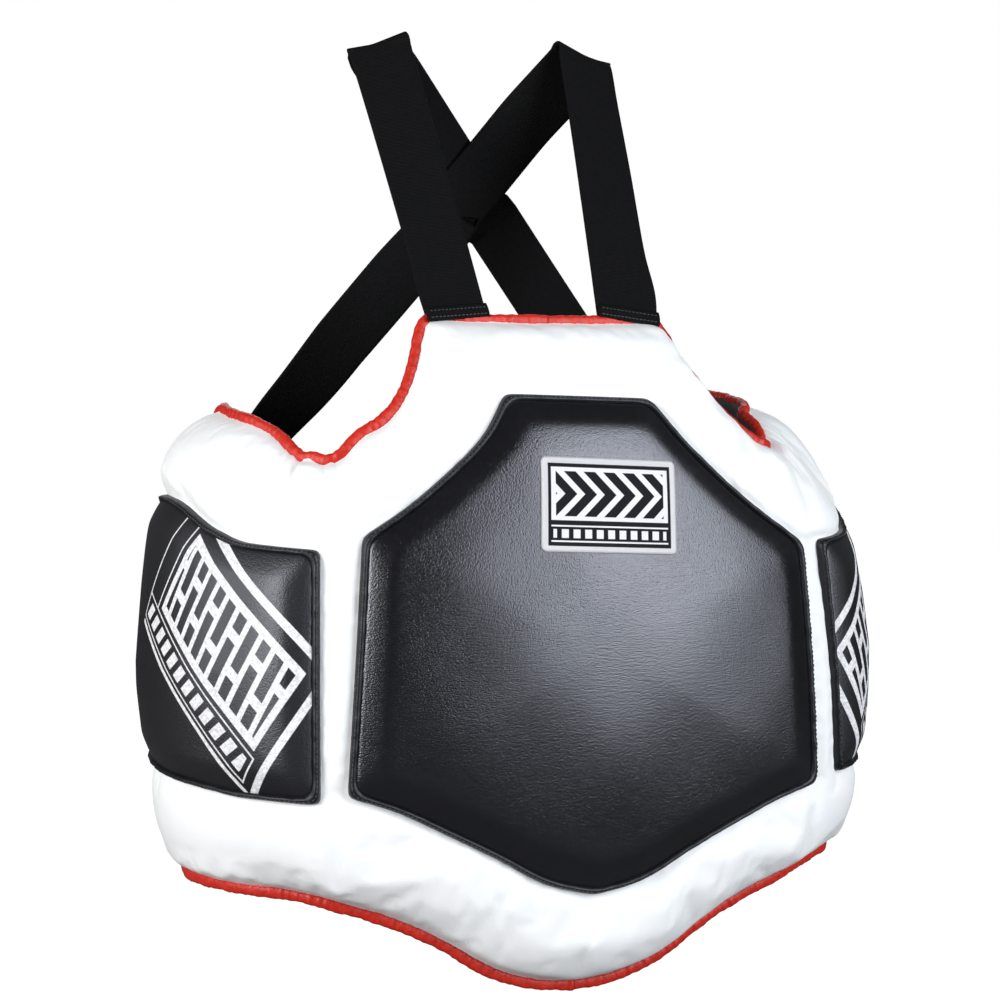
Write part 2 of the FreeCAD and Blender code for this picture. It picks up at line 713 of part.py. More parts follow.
# ---------------------------------------------------------------- checks and export
for obj in doc.Objects:
    if {"Invalid", "Error"} & set(obj.State):
        raise RuntimeError(f"{obj.Label} failed: {obj.State}")
os.makedirs("parts", exist_ok=True)
for node in NODES:
    shape = node.Shape
    if shape.isNull() or not shape.isValid() or not shape.Solids:
        raise RuntimeError(f"{node.Label} has no valid solid")
    print(f"{node.Label}: {shape.Volume / 1000:.1f} cm3, {len(shape.Solids)} solid")
    shape.exportStep(f"parts/{node.Label}.step")
belt_pivot = wall(D["wing_angle"], D["belt_outer"])
print("flex axis", round(FLEX.x, 2), round(FLEX.y, 2))
print("belt axis", round(-belt_pivot.x, 2), round(belt_pivot.y, 2))
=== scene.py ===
"""Chest protector: white padded shell with red bound edges, black strike pads, webbing
shoulder straps that cross behind, and an elastic belt that closes the back.

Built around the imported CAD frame, in metres: +Z up, +X to the wearer's left, chest to -Y.
Soft surfaces are laid out flat as (s, z): s is the distance round the body, z the height,
and h is the distance out from the lining.
"""
import math

import bmesh
import bpy
import numpy as np
from mathutils import Matrix, Vector
from mathutils.bvhtree import BVHTree
from mathutils.kdtree import KDTree


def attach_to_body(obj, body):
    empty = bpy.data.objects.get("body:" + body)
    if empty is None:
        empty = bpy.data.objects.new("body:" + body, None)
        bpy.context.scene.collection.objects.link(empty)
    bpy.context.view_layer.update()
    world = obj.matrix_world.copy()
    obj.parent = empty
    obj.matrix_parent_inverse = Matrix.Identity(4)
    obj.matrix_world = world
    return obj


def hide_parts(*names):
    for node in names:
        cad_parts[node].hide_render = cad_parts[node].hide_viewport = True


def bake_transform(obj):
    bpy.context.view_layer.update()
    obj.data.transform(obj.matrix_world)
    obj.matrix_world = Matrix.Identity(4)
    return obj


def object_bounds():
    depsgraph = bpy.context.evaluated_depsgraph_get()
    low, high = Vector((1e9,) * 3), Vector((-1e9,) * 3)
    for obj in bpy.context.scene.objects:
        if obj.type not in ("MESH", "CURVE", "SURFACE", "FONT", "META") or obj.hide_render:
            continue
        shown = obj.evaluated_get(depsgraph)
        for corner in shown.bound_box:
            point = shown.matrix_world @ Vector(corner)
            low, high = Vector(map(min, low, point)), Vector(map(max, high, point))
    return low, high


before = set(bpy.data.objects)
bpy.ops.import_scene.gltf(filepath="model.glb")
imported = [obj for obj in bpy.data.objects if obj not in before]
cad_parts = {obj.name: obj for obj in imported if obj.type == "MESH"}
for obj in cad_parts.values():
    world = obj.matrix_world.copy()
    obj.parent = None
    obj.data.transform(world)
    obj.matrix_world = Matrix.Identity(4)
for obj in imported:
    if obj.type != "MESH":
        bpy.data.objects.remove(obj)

cad_low, cad_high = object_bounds()
scene = bpy.context.scene
MM = 0.001
TAU = 2 * math.pi
SIDES = (("left", 1), ("right", -1))
MIRROR = np.array([-1, 1, 1])
rad = math.radians


# ================================================================ body shape
# plan curve of the lining: chest arc, tight turn, wing arc (radius, end angle)
FRONT_R, FRONT_A = 1.080, rad(9)
TURN_R, TURN_A = 0.082, rad(64)
WING_R, WING_A = 0.150, rad(158)
CROWN_R, CROWN_Z = 1.466, 0.253      # the chest is also crowned from top to bottom
REF = 0.025                          # h at which the flat layout keeps true length

S_FRONT = (FRONT_R + REF) * FRONT_A
S_TURN = S_FRONT + (TURN_R + REF) * (TURN_A - FRONT_A)
TURN_X = (FRONT_R - TURN_R) * math.sin(FRONT_A)
TURN_Y = FRONT_R - (FRONT_R - TURN_R) * math.cos(FRONT_A)
WING_X = TURN_X + (TURN_R - WING_R) * math.sin(TURN_A)
WING_Y = TURN_Y - (TURN_R - WING_R) * math.cos(TURN_A)

# layers, as h
EDGE_H = 0.0108         # middle of the bound edge
COVER_H = 0.0426        # face of the white shell
FACE_H = 0.0556         # flat of a strike pad
FLEX_A = rad(19.4)      # the wings bend here
FLEX_H = 0.008


def heading(s):
    """Direction that the wall faces at a flat distance, from straight ahead."""
    a = np.abs(s)
    turn = FRONT_A + (a - S_FRONT) / (TURN_R + REF)
    wing = TURN_A + (a - S_TURN) / (WING_R + REF)
    return np.where(a <= S_FRONT, a / (FRONT_R + REF), np.where(a <= S_TURN, turn, wing))


def girth(angle):
    """Flat distance at which the wall faces an angle."""
    turn = S_FRONT + (angle - FRONT_A) * (TURN_R + REF)
    wing = S_TURN + (angle - TURN_A) * (WING_R + REF)
    flat = np.where(angle <= FRONT_A, angle * (FRONT_R + REF), np.where(angle <= TURN_A, turn, wing))
    return flat if flat.ndim else float(flat)


def across(x, h):
    """Flat distance of a point at that x on the front, h out from the lining."""
    front = np.arcsin(np.clip(x / (FRONT_R + h), -1, 1))
    turn = np.arcsin(np.clip((x - TURN_X) / (TURN_R + h), -1, 1))
    return girth(np.where(front <= FRONT_A, front, turn))


def smoothstep(low, high, x):
    """Smooth step from 0 at low to 1 at high; it falls where low is the greater."""
    t = np.clip((x - low) / (high - low), 0, 1)
    return t * t * (3 - 2 * t)


def bell(x, middle, width):
    return np.exp(-(((x - middle) / width) ** 2))


def tuck(s, z):
    """How far the straps and the belt draw the upper and lower parts in towards the body."""
    angle = heading(s)
    share = smoothstep(rad(19), rad(62), angle)                 # chest to wing
    side = smoothstep(rad(40), rad(75), angle)
    over = np.clip(z - 0.25, 0, None)
    rim = np.clip(z - 0.33, 0, None) / 0.11
    under = np.clip((0.235 - z) / 0.085, 0, 1)
    lean = (0.10 * over + 0.020 * rim**2) * np.where(s < 0, 0.77, 1.0)
    wing = lean + 0.003 * under**1.5 - 0.009 * smoothstep(0.116, 0.090, z) * side
    chest = 0.014 * (np.clip(z - 0.40, 0, None) / 0.10) ** 1.5
    rear = 1 - 0.7 * smoothstep(rad(108), rad(142), angle)
    # the strap pulls hardest on the top of the wearer's left
    pull = 0.024 * smoothstep(0.34, 0.41, z) * smoothstep(rad(8), rad(28), angle) * (s > 0)
    return chest * (1 - share) + (wing * share + pull * (1 - 0.45 * side)) * rear


def slump(s, z):
    """Sideways sag of the top, towards the wearer's right."""
    corner = smoothstep(0.45, 0.50, z) * smoothstep(-0.02, -0.06, s)
    return -0.008 * smoothstep(0.39, 0.50, z) - 0.004 * corner


def lift(s, z):
    """The neck and the wearer's left sit a little higher, and the right wing's top lower."""
    armhole = 0.011 * smoothstep(0.35, 0.40, z) * bell(s, 0.205, 0.034)
    front = 0.010 * smoothstep(0.37, 0.41, z) * bell(s, -0.166, 0.018)
    rise = 0.008 * smoothstep(0.20, 0.25, s)
    dip = 0.008 * smoothstep(-0.205, -0.225, s) * (1 - 0.6 * smoothstep(-0.255, -0.31, s))
    neck = 0.0035 * smoothstep(0.47, 0.50, z)
    return armhole + smoothstep(0.36, 0.42, z) * (rise - dip) + front + neck


def place(s, z, h):
    """Points in space of flat points raised h from the lining."""
    s, z, h = np.broadcast_arrays(np.asarray(s, float), np.asarray(z, float), np.asarray(h, float))
    a, angle = np.abs(s), heading(s)
    front, turn = a <= S_FRONT, a <= S_TURN
    cx = np.where(front, 0, np.where(turn, TURN_X, WING_X))
    cy = np.where(front, FRONT_R, np.where(turn, TURN_Y, WING_Y))
    radius = np.where(front, FRONT_R, np.where(turn, TURN_R, WING_R))
    drop = CROWN_R - np.sqrt(CROWN_R**2 - (z - CROWN_Z) ** 2)
    r = radius + (h - tuck(s, z)) - drop * np.clip(np.cos(angle), 0, 1) ** 2
    side = np.where(s < 0, -1.0, 1.0)
    return np.stack([side * (cx + r * np.sin(angle)) + slump(s, z), cy - r * np.cos(angle),
                     z + lift(s, z)], -1)


def outward(s, z):
    """Unit direction of growing h."""
    return unit(place(s, z, 0.001) - place(s, z, 0.0))


# ================================================================ curves
def unit(v):
    return v / np.maximum(np.linalg.norm(v, axis=-1, keepdims=True), 1e-12)


def spline(points, step):
    """Smooth curve through points (centripetal Catmull-Rom), sampled about every step."""
    p = np.array(points, float)
    p = np.vstack([2 * p[0] - p[1], p, 2 * p[-1] - p[-2]])
    t = np.concatenate([[0], np.cumsum(np.sqrt(np.linalg.norm(np.diff(p, axis=0), axis=1)))])
    out = []
    for i in range(1, len(p) - 2):
        n = max(2, math.ceil(np.linalg.norm(p[i + 1] - p[i]) / step))
        u = np.linspace(t[i], t[i + 1], n, endpoint=False)[:, None]
        rows, knots = list(p[i - 1:i + 3]), t[i - 1:i + 3]
        for level in (1, 2):
            rows = [((knots[k + level] - u) * rows[k] + (u - knots[k]) * rows[k + 1])
                    / (knots[k + level] - knots[k]) for k in range(4 - level)]
        out.append(((knots[2] - u) * rows[0] + (u - knots[1]) * rows[1]) / (knots[2] - knots[1]))
    return np.vstack(out + [p[-2][None]])


def lengths(line):
    return np.concatenate([[0], np.cumsum(np.linalg.norm(np.diff(line, axis=0), axis=1))])


def sample(line, along, at):
    """Points or directions of a line at given distances along it."""
    return np.stack([np.interp(at, along, column) for column in line.T], -1)


def resample(line, at):
    """Points of a polyline at given shares of its length, or at that many even ones."""
    along = lengths(line)
    at = np.linspace(0, 1, at) if isinstance(at, int) else at
    return sample(line, along, at * along[-1])


def ring_closed(line):
    return np.vstack([line, line[:1]])


def evened(loop, n):
    """A closed polyline with n even points."""
    return resample(ring_closed(loop), n + 1)[:-1]


def smoothed(loop, passes):
    for _ in range(passes):
        loop = 0.5 * loop + 0.25 * (np.roll(loop, 1, 0) + np.roll(loop, -1, 0))
    return loop


def near(points, line):
    """Distance of each point from a densely sampled line."""
    tree = KDTree(len(line))
    for i, q in enumerate(line):
        tree.insert((q[0], q[1], 0), i)
    tree.balance()
    found = [tree.find((p[0], p[1], 0))[2] for p in points.reshape(-1, 2)]
    return np.array(found).reshape(points.shape[:-1])


def inside(points, loop):
    """Whether each flat point lies within a closed loop."""
    x, y = points[..., 0], points[..., 1]
    hit = np.zeros(x.shape, bool)
    for (x0, y0), (x1, y1) in zip(loop, np.roll(loop, -1, 0)):
        if y0 != y1:
            hit ^= ((y0 > y) != (y1 > y)) & (x < x0 + (y - y0) * (x1 - x0) / (y1 - y0))
    return hit


def ripple(t, wavelengths, seed):
    """Irregular waves along t, between about -1 and 1."""
    rng = np.random.default_rng(seed)
    total = 0
    for w in wavelengths:
        total = total + np.sin(TAU * (t / w + rng.random())
                               + 1.3 * np.sin(TAU * (t / (w * 3.7) + rng.random())))
    return total / len(wavelengths) ** 0.5


# ================================================================ outlines, on the wearer's left
def flat_points(front, rear, h):
    """Flat points from (x, z) in mm on the front and (angle, z) round the side."""
    points = [(across(x * MM, h), z * MM) for x, z in front]
    return points + [(girth(rad(a)), z * MM) for a, z in rear]


TOP_EDGE = spline(flat_points(
    [(0, 502.5), (35, 502.8), (70, 503.5), (90, 504), (97, 501), (102, 494), (110, 478),
     (121, 459), (132, 443), (143, 430.5), (153, 419.5), (164, 411), (176, 404.5)],
    [(19.4, 401), (25, 402), (32, 408), (40, 416.5), (52, 427), (71, 435), (90, 442.5),
     (108, 447.5), (135, 442), (148, 437), (153, 433), (156, 426), (157, 416)],
    EDGE_H), 0.001)
HEM_EDGE = spline(flat_points(
    [(0, 4.5), (30, 7.5), (61, 16.5), (84, 28.5), (100, 39), (133, 56.5), (167, 70)],
    [(19.4, 76), (30, 81), (45, 85.5), (71, 89), (100, 90.5), (135, 91.5), (149, 93),
     (154, 97), (156.2, 103), (157, 112)],
    EDGE_H), 0.001)
REAR_EDGE = np.linspace(TOP_EDGE[-1], HEM_EDGE[-1], 320)
HALF_EDGE = np.vstack([TOP_EDGE[:-1], REAR_EDGE[:-1], HEM_EDGE[::-1]])


PAD_SLOPE = 0.028       # the centre pad is sewn on a little askew
PAD_WIDER = 0.006       # and reaches this much further on the wearer's left
SIDE_SKEW = 0.10        # the left side pad leans forwards towards its foot
SIDE_BACK = 0.0042      # and its front edge sits this much further back


def centre_pad_loop():
    """Outline of the chest pad: flat top, hollow shoulders and a pointed bowl."""
    shoulder = spline([(60, 447), (82, 417), (110, 391), (143, 364), (179, 340)], 2)
    bowl = spline([(193.5, 153), (175, 148.5), (153, 141), (122, 126.5), (80, 106.5), (40, 86),
                   (0, 76.5)], 2)
    half = np.vstack([[(0, 447)], shoulder, bowl]) * MM
    flat = np.stack([across(half[:, 0], FACE_H), half[:, 1]], -1)
    loop = np.vstack([flat[::-1], (flat * np.array([-1, 1]))[1:-1]])
    s = loop[:, 0]
    return loop + np.stack([PAD_WIDER * smoothstep(0.10, 0.17, s), -PAD_SLOPE * s], -1)


def side_pad_loop(sign):
    """Outline of a side pad, from (angle, z in mm)."""
    top = spline([(24, 336.5), (30, 337.5), (45, 340.5), (55, 343), (66, 351), (73, 360), (81, 370),
                  (88, 375), (97, 378), (106, 378), (117, 374), (128, 367)], 1.5)
    bottom = spline([(128, 181), (105, 174.5), (86, 167), (72, 163), (56, 158), (47, 157),
                     (25, 153.5)], 1.5)
    angle, z = np.vstack([top, bottom]).T
    s = girth(np.radians(angle))
    if sign > 0:
        s = s + SIDE_SKEW * (0.25 - z * MM) + SIDE_BACK * smoothstep(60, 30, angle)
    flat = np.stack([sign * s, z * MM], -1)
    return flat[::-sign]


# ================================================================ meshes
class Pile:
    """Collects grids of quads into one mesh; each corner keeps its flat place in metres."""

    def __init__(self):
        self.points, self.faces, self.corners, self.count = [], [], [], 0

    def grid(self, points, flat, wrap=(False, False), flip=False):
        nu, nv = points.shape[:2]
        a, b = (x.ravel() for x in np.meshgrid(
            np.arange(nu - (not wrap[0])), np.arange(nv - (not wrap[1])), indexing="ij"))
        ring = [(a, b), (a + 1, b), (a + 1, b + 1), (a, b + 1)]
        if flip:
            ring.reverse()
        self.faces.append(np.stack([(p % nu) * nv + q % nv for p, q in ring], -1) + self.count)
        self.corners.append(np.stack([flat[p, q] for p, q in ring], 1))
        self.points.append(points.reshape(-1, 3))
        self.count += nu * nv
        return self

    def make(self, name, material, outwards=False):
        mesh = bpy.data.meshes.new(name)
        points, faces = np.vstack(self.points), np.vstack(self.faces)
        mesh.from_pydata(points.tolist(), [], faces.tolist())
        layer = mesh.uv_layers.new(name="flat")
        layer.data.foreach_set("uv", np.vstack(self.corners).astype(np.float32).ravel())
        mesh.polygons.foreach_set("use_smooth", [True] * len(faces))
        mesh.materials.append(material)
        if outwards:
            edited(mesh, lambda bm: bmesh.ops.recalc_face_normals(bm, faces=bm.faces))
        obj = bpy.data.objects.new(name, mesh)
        scene.collection.objects.link(obj)
        return obj


def edited(mesh, change):
    """Runs a change on a mesh in its editable form, and gives back what the change does."""
    bm = bmesh.new()
    bm.from_mesh(mesh)
    result = change(bm)
    bm.to_mesh(mesh)
    bm.free()
    return result


def coordinates(mesh):
    co = np.empty(len(mesh.vertices) * 3)
    mesh.vertices.foreach_get("co", co)
    return co.reshape(-1, 3)


def attach(obj, body, slot, *nodes):
    """Hands a piece to the frame: the CAD nodes that it replaces and its body; the slot is not used."""
    if nodes:
        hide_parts(*nodes)
    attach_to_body(obj, body)
    return obj


def square_to(v, axis):
    """Unit vector of what is left of v square to a unit axis."""
    return unit(v - (v * axis).sum(-1, keepdims=True) * axis)


def capped(line, points, flat):
    """Adds rows at both ends that close a tube over the line's end points."""
    sides = points.shape[1]
    points = np.concatenate([np.repeat(line[:1, None], sides, 1), points,
                             np.repeat(line[-1:, None], sides, 1)])
    return points, np.concatenate([flat[:1], flat, flat[-1:]])


def tube(pile, line, toward, width, height, sides=14, power=2.6):
    """Closed tube round a line; toward points out of its wider face."""
    ahead = unit(np.gradient(line, axis=0))
    normal = square_to(toward, ahead)
    lateral = np.cross(ahead, normal)
    angle = np.linspace(0, TAU, sides, endpoint=False)
    c, s = np.cos(angle), np.sin(angle)
    u = np.sign(c) * np.abs(c) ** (2 / power)
    v = np.sign(s) * np.abs(s) ** (2 / power)
    width, height = (np.broadcast_to(np.asarray(x, float), line.shape[:1])[:, None, None]
                     for x in (width, height))
    points = (line[:, None] + lateral[:, None] * u[None, :, None] * width / 2
              + normal[:, None] * v[None, :, None] * height / 2)
    girths = np.linspace(0, float(width.mean() + height.mean()) * 1.6, sides + 1)
    flat = np.stack(np.broadcast_arrays(lengths(line)[:, None], girths[None]), -1)
    return pile.grid(*capped(line, points, flat), (False, True))


def stitches(pile, line, toward, spacing, length, radius, raised=0.6):
    """A row of thread stitches on a surface whose outward direction is toward."""
    along = lengths(line)
    at = (np.arange(max(1, int(along[-1] / spacing))) + 0.5) * spacing
    centre = sample(line, along, at)
    ahead = unit(sample(unit(np.gradient(line, axis=0)), along, at))
    normal = unit(sample(toward, along, at))
    rings = np.array([-1, -0.82, -0.35, 0.35, 0.82, 1])[:, None]
    angle = np.linspace(0, TAU, 6, endpoint=False)[:, None]
    size = radius * np.sqrt(np.clip(1.02 - rings**4, 0, 1))[:, None]
    flat = np.stack(np.broadcast_arrays(rings * length / 2, np.linspace(0, 6 * radius, 7)), -1)
    for c, t, n in zip(centre, ahead, normal):
        spine = c + t * rings * length / 2 + n * (raised * radius * (1 - 1.8 * rings**4))
        ring = n * np.sin(angle) + np.cross(t, n) * np.cos(angle)
        pile.grid(spine[:, None] + ring[None] * size, flat, (False, True))
    return pile


def boxed_cross(s0, s1, z0, z1, h, sense, steps, spacing, length, radius):
    """Stitching round a rectangle on the wall and across it, on its outer or inner face."""
    corners = [(s0, z0), (s1, z0), (s1, z1), (s0, z1)]
    pile = Pile()
    for i, j in [(0, 1), (1, 2), (2, 3), (3, 0), (0, 2), (1, 3)]:
        s, z = np.linspace(corners[i], corners[j], steps).T
        stitches(pile, place(s, z, h), sense * outward(s, z), spacing, length, radius)
    return pile


def ribbon(centre, span, normal, width, thickness, columns):
    """Webbing: a flat closed band with soft edges, through rows of centre, span, normal."""
    rows = len(centre)
    x = np.linspace(-0.5, 0.5, columns)
    soft = np.where(np.abs(x) == 0.5, -0.35 * thickness, 0)
    top = np.stack([x, np.full(columns, 0.5), soft], -1)
    loop = np.vstack([top, [(0.5, 0, 0)], top[::-1] * np.array([1, -1, 1]), [(-0.5, 0, 0)]])
    w = np.broadcast_to(np.asarray(width, float), (rows,))[:, None]
    reach = loop[None, :, 0] * w + np.sign(loop[:, 0]) * loop[:, 2]
    points = (centre[:, None] + span[:, None] * reach[..., None]
              + normal[:, None] * (loop[None, :, 1] * thickness)[..., None])
    around = np.append(loop[:, 0], loop[0, 0])
    flat = np.stack(np.broadcast_arrays(lengths(centre)[:, None], around[None] * w), -1)
    ends = [centre[k, None] + span[k, None] * reach[k, :, None] for k in (0, -1)]
    points = np.concatenate([ends[:1], points, ends[1:]])
    flat = np.concatenate([flat[:1], flat, flat[-1:]])
    return Pile().grid(points, flat, (False, True))


def rounded(x, y, half, corner):
    """Pulls the corners of a rectangle's points in to a radius."""
    over_x = np.clip(np.abs(x) - half[0] + corner, 0, None)
    over_y = np.clip(np.abs(y) - half[1] + corner, 0, None)
    cut = 1 - np.minimum(1, corner / np.maximum(np.hypot(over_x, over_y), 1e-9))
    return x - np.sign(x) * over_x * cut, y - np.sign(y) * over_y * cut


PATCH_STEP, PATCH_SOFT = 0.003, 0.0012      # grid step and rounding of a patch's rim


def patch(s0, s1, z0, z1, low, high, corner=0.004):
    """Slab lying on the wall between two heights, with rounded corners and edges."""
    half = np.array([abs(s1 - s0), abs(z1 - z0)]) / 2
    grades = []
    for size in half:
        even = np.linspace(-1, 1, max(6, int(2 * size / PATCH_STEP)))
        grades.append(0.35 * np.sin(even * math.pi / 2) + 0.65 * even)
    u, v = np.meshgrid(*grades, indexing="ij")
    x, y = rounded(u * half[0], v * half[1], half, corner)
    rim = np.minimum(half[0] * (1 - np.abs(u)), half[1] * (1 - np.abs(v)))
    rise = dome(rim, PATCH_SOFT) * (high - low) / 2
    s, z = (s0 + s1) / 2 + x, (z0 + z1) / 2 + y
    flat, middle = np.stack([s, z], -1), (low + high) / 2
    slab = Pile().grid(place(s, z, middle + rise), flat)
    return slab.grid(place(s, z, middle - rise), flat, flip=True)


def dome(distance, reach):
    """Quarter round that rises from 0 at an edge to 1 at its reach."""
    return np.sqrt(1 - (1 - np.clip(distance / reach, 0, 1)) ** 2)


# ================================================================ materials
class Field:
    """A value that varies over a surface; arithmetic with it makes shader nodes."""

    def __init__(self, shader, socket):
        self.shader, self.socket = shader, socket

    def __add__(self, other):
        return self.shader.math("ADD", self, other)

    def __sub__(self, other):
        return self.shader.math("SUBTRACT", self, other)

    def __mul__(self, other):
        return self.shader.math("MULTIPLY", self, other)

    def __truediv__(self, other):
        return self.shader.math("DIVIDE", self, other)

    def __abs__(self):
        return self.shader.math("ABSOLUTE", self)

    def less(self, other):
        """This minus the other, kept within 0 and 1."""
        return self.shader.math("SUBTRACT", self, other, clamp=True)

    def sine(self):
        return self.shader.math("SINE", self)

    def wave(self, length):
        """Sine that repeats over a length."""
        return (self * (TAU / length)).sine()

    def ramp(self, low, high, start=0.0, end=1.0):
        return self.shader.field("ShaderNodeMapRange", "Result", Value=self, From_Min=low,
                                 From_Max=high, To_Min=start, To_Max=end)

    def bar(self, low, high, soft=0.25):
        """1 between low and high, with soft edges."""
        return self.ramp(low - soft, low + soft) * self.ramp(high - soft, high + soft, 1.0, 0.0)

    def stripes(self, period, share, soft=0.25):
        """Repeating bars that fill that share of each period."""
        phase = self.shader.math("PINGPONG", self, period / 2)
        return phase.ramp(period * share / 2 - soft, period * share / 2 + soft, 1.0, 0.0)


def any_of(first, *others):
    for other in others:
        first = first.shader.math("MAXIMUM", first, other)
    return first


class Shader:
    """A Principled material whose pattern follows the flat layout, in millimetres."""

    def __init__(self, name, colour, roughness, **sockets):
        self.material = bpy.data.materials.new(name)
        self.material.use_nodes = True
        self.tree = self.material.node_tree
        self.bsdf = self.tree.nodes["Principled BSDF"]
        for key, value in dict(Base_Color=(*colour, 1), Roughness=roughness, **sockets).items():
            self.feed(self.bsdf.inputs[key.replace("_", " ")], value)
        layout = self.node("ShaderNodeUVMap")
        layout.uv_map = "flat"
        self.flat = self.node("ShaderNodeMapping", Vector=layout.outputs[0],
                              Scale=(1000, 1000, 1000)).outputs[0]
        self.relief = None

    def feed(self, socket, value):
        value = value.socket if isinstance(value, Field) else value
        if isinstance(value, bpy.types.NodeSocket):
            self.tree.links.new(value, socket)
        else:
            socket.default_value = value

    def node(self, kind, **sockets):
        made = self.tree.nodes.new(kind)
        for key, value in sockets.items():
            self.feed(made.inputs[key.replace("_", " ")], value)
        return made

    def field(self, kind, output, **sockets):
        return Field(self, self.node(kind, **sockets).outputs[output])

    def math(self, operation, *values, clamp=False):
        made = self.tree.nodes.new("ShaderNodeMath")
        made.operation, made.use_clamp = operation, clamp
        for socket, value in zip(made.inputs, values):
            self.feed(socket, value)
        return Field(self, made.outputs[0])

    def noise(self, scale, detail=3.0, roughness=0.55):
        return self.field("ShaderNodeTexNoise", "Fac", Vector=self.flat, Scale=scale,
                          Detail=detail, Roughness=roughness)

    def cells(self, scale):
        return self.field("ShaderNodeTexVoronoi", "Distance", Vector=self.flat, Scale=scale)

    def axes(self):
        split = self.node("ShaderNodeSeparateXYZ", Vector=self.flat)
        return Field(self, split.outputs[0]), Field(self, split.outputs[1])

    def mix(self, factor, a, b):
        made = self.tree.nodes.new("ShaderNodeMix")
        made.data_type = "RGBA"
        for name, value in (("Factor_Float", factor), ("A_Color", a), ("B_Color", b)):
            socket = next(i for i in made.inputs if i.identifier == name)
            self.feed(socket, (*value, 1) if isinstance(value, tuple) else value)
        return Field(self, next(o for o in made.outputs if o.identifier == "Result_Color"))

    def colour(self, factor, a, b):
        """Colours the surface between two colours or fields."""
        self.base = self.mix(factor, a, b)
        self.feed(self.bsdf.inputs["Base Color"], self.base)

    def rough(self, value):
        self.feed(self.bsdf.inputs["Roughness"], value)

    def bump(self, height, distance, strength=1.0):
        """Adds relief; distance is in millimetres."""
        made = self.node("ShaderNodeBump", Height=height, Distance=distance * MM, Strength=strength)
        if self.relief:
            self.feed(made.inputs["Normal"], self.relief)
        self.relief = made.outputs[0]
        self.feed(self.bsdf.inputs["Normal"], self.relief)


def scaled(colour, factor):
    return tuple(factor * c for c in colour)


def leather_grain(shader, pebble, depth):
    """Rounded grain about that many mm across, uneven in height."""
    cell = shader.cells(1.0 / pebble)
    shader.bump(shader.noise(0.5 / pebble, 2.0, 0.5) - cell * cell, depth)


def white_leather():
    m = Shader("white_leather", (0.90, 0.91, 0.92), 0.52, Specular_IOR_Level=0.35)
    m.colour(m.noise(0.02).ramp(0.3, 0.7), (0.84, 0.86, 0.87), (0.89, 0.89, 0.89))
    leather_grain(m, 1.1, 0.05)
    m.rough(m.noise(0.08, 4.0).ramp(0.3, 0.7, 0.48, 0.60))
    return m


def black_leather(name="black_leather", gloss=(0.20, 0.27), level=0.75):
    m = Shader(name, (0.006, 0.006, 0.008), 0.30, Specular_IOR_Level=level,
               Specular_Tint=(0.90, 0.91, 1.0, 1))
    m.colour(m.noise(0.03, 4.0).ramp(0.3, 0.7), (0.0020, 0.0020, 0.0026), (0.0035, 0.0035, 0.0045))
    leather_grain(m, 1.0, 0.11)
    m.rough(m.noise(0.15, 4.0, 0.6).ramp(0.25, 0.75, *gloss))
    return m


def binding_tape():
    m = Shader("binding_red", (0.46, 0.016, 0.008), 0.40, Specular_IOR_Level=0.3)
    m.colour(m.noise(0.25, 4.0).ramp(0.3, 0.7), (0.40, 0.012, 0.006), (0.58, 0.026, 0.012))
    m.bump(m.noise(0.45, 4.0, 0.6), 0.35, 0.8)
    m.bump(m.cells(1.6), 0.05)
    m.rough(m.noise(0.6).ramp(0.3, 0.7, 0.28, 0.48))
    return m


def webbing(name, colour, rib=1.25, depth=0.28, upright=False):
    """Ribbed weave; its ribs cross the band's length, or its height where upright."""
    m = Shader(name, colour, 0.75, Specular_IOR_Level=0.12)
    v, u = m.axes() if upright else reversed(m.axes())
    ribs = (u * (TAU / rib) + v.wave(1.5) * 0.55).sine()
    weave = ribs.ramp(-1, 1) + v.wave(0.75).ramp(-1, 1) * 0.35
    fuzz = m.noise(3.0, 3.0, 0.7)
    m.bump(weave + fuzz * 0.35, depth)
    # painted shade: the colour follows the weave's relief, darker in the grooves between ribs and yarns,
    # with the fuzz noise adding random tone
    m.colour((weave + fuzz).ramp(0.3, 1.7), scaled(colour, 0.45), scaled(colour, 1.5))
    m.rough(m.noise(0.2).ramp(0.3, 0.7, 0.66, 0.8))
    return m


def lining_fabric():
    m = Shader("lining_nylon", (0.02, 0.02, 0.022), 0.55, Sheen_Weight=0.2)
    u, v = m.axes()
    m.bump(u.wave(0.9) * v.wave(0.9), 0.07)
    m.bump(m.noise(0.12, 4.0), 0.9, 0.6)
    m.colour(m.noise(0.5, 4.0).ramp(0.3, 0.7), (0.014, 0.014, 0.016), (0.030, 0.030, 0.033))
    return m


def thread(name, colour):
    m = Shader(name, colour, 0.5, Sheen_Weight=0.2)
    u, v = m.axes()
    twist = (u + v).wave(0.5)
    m.bump(twist, 0.05)
    # painted shade: the colour follows the twist's relief, darker in its grooves
    m.colour(twist.ramp(-1, 1), scaled(colour, 0.6), scaled(colour, 1.2))
    return m


PRINT_CORNER = (192.0, 252.4)     # flat place of the print's front corner, mm
PRINT_ALONG = rad(50.4)           # the print climbs to the rear at this angle
PRINT_DOWN = rad(-60.0)           # and its height runs down and back at this one
# rectangles of the print, in mm along it and down it: low p, high p, low q, high q
PRINT_FRAME = [(-20, 153, 0, 6), (0, 5.5, 0, 109), (-20, 173, 106.5, 109.5)]
PRINT_LINES = [(12, 173, 82.5, 83.7), (12, 173, 102.8, 104), (12, 13.2, 82.5, 104),
               (153, 154.4, 8, 83), (171.6, 173, 8, 104), (153, 173, 8, 9.4)]


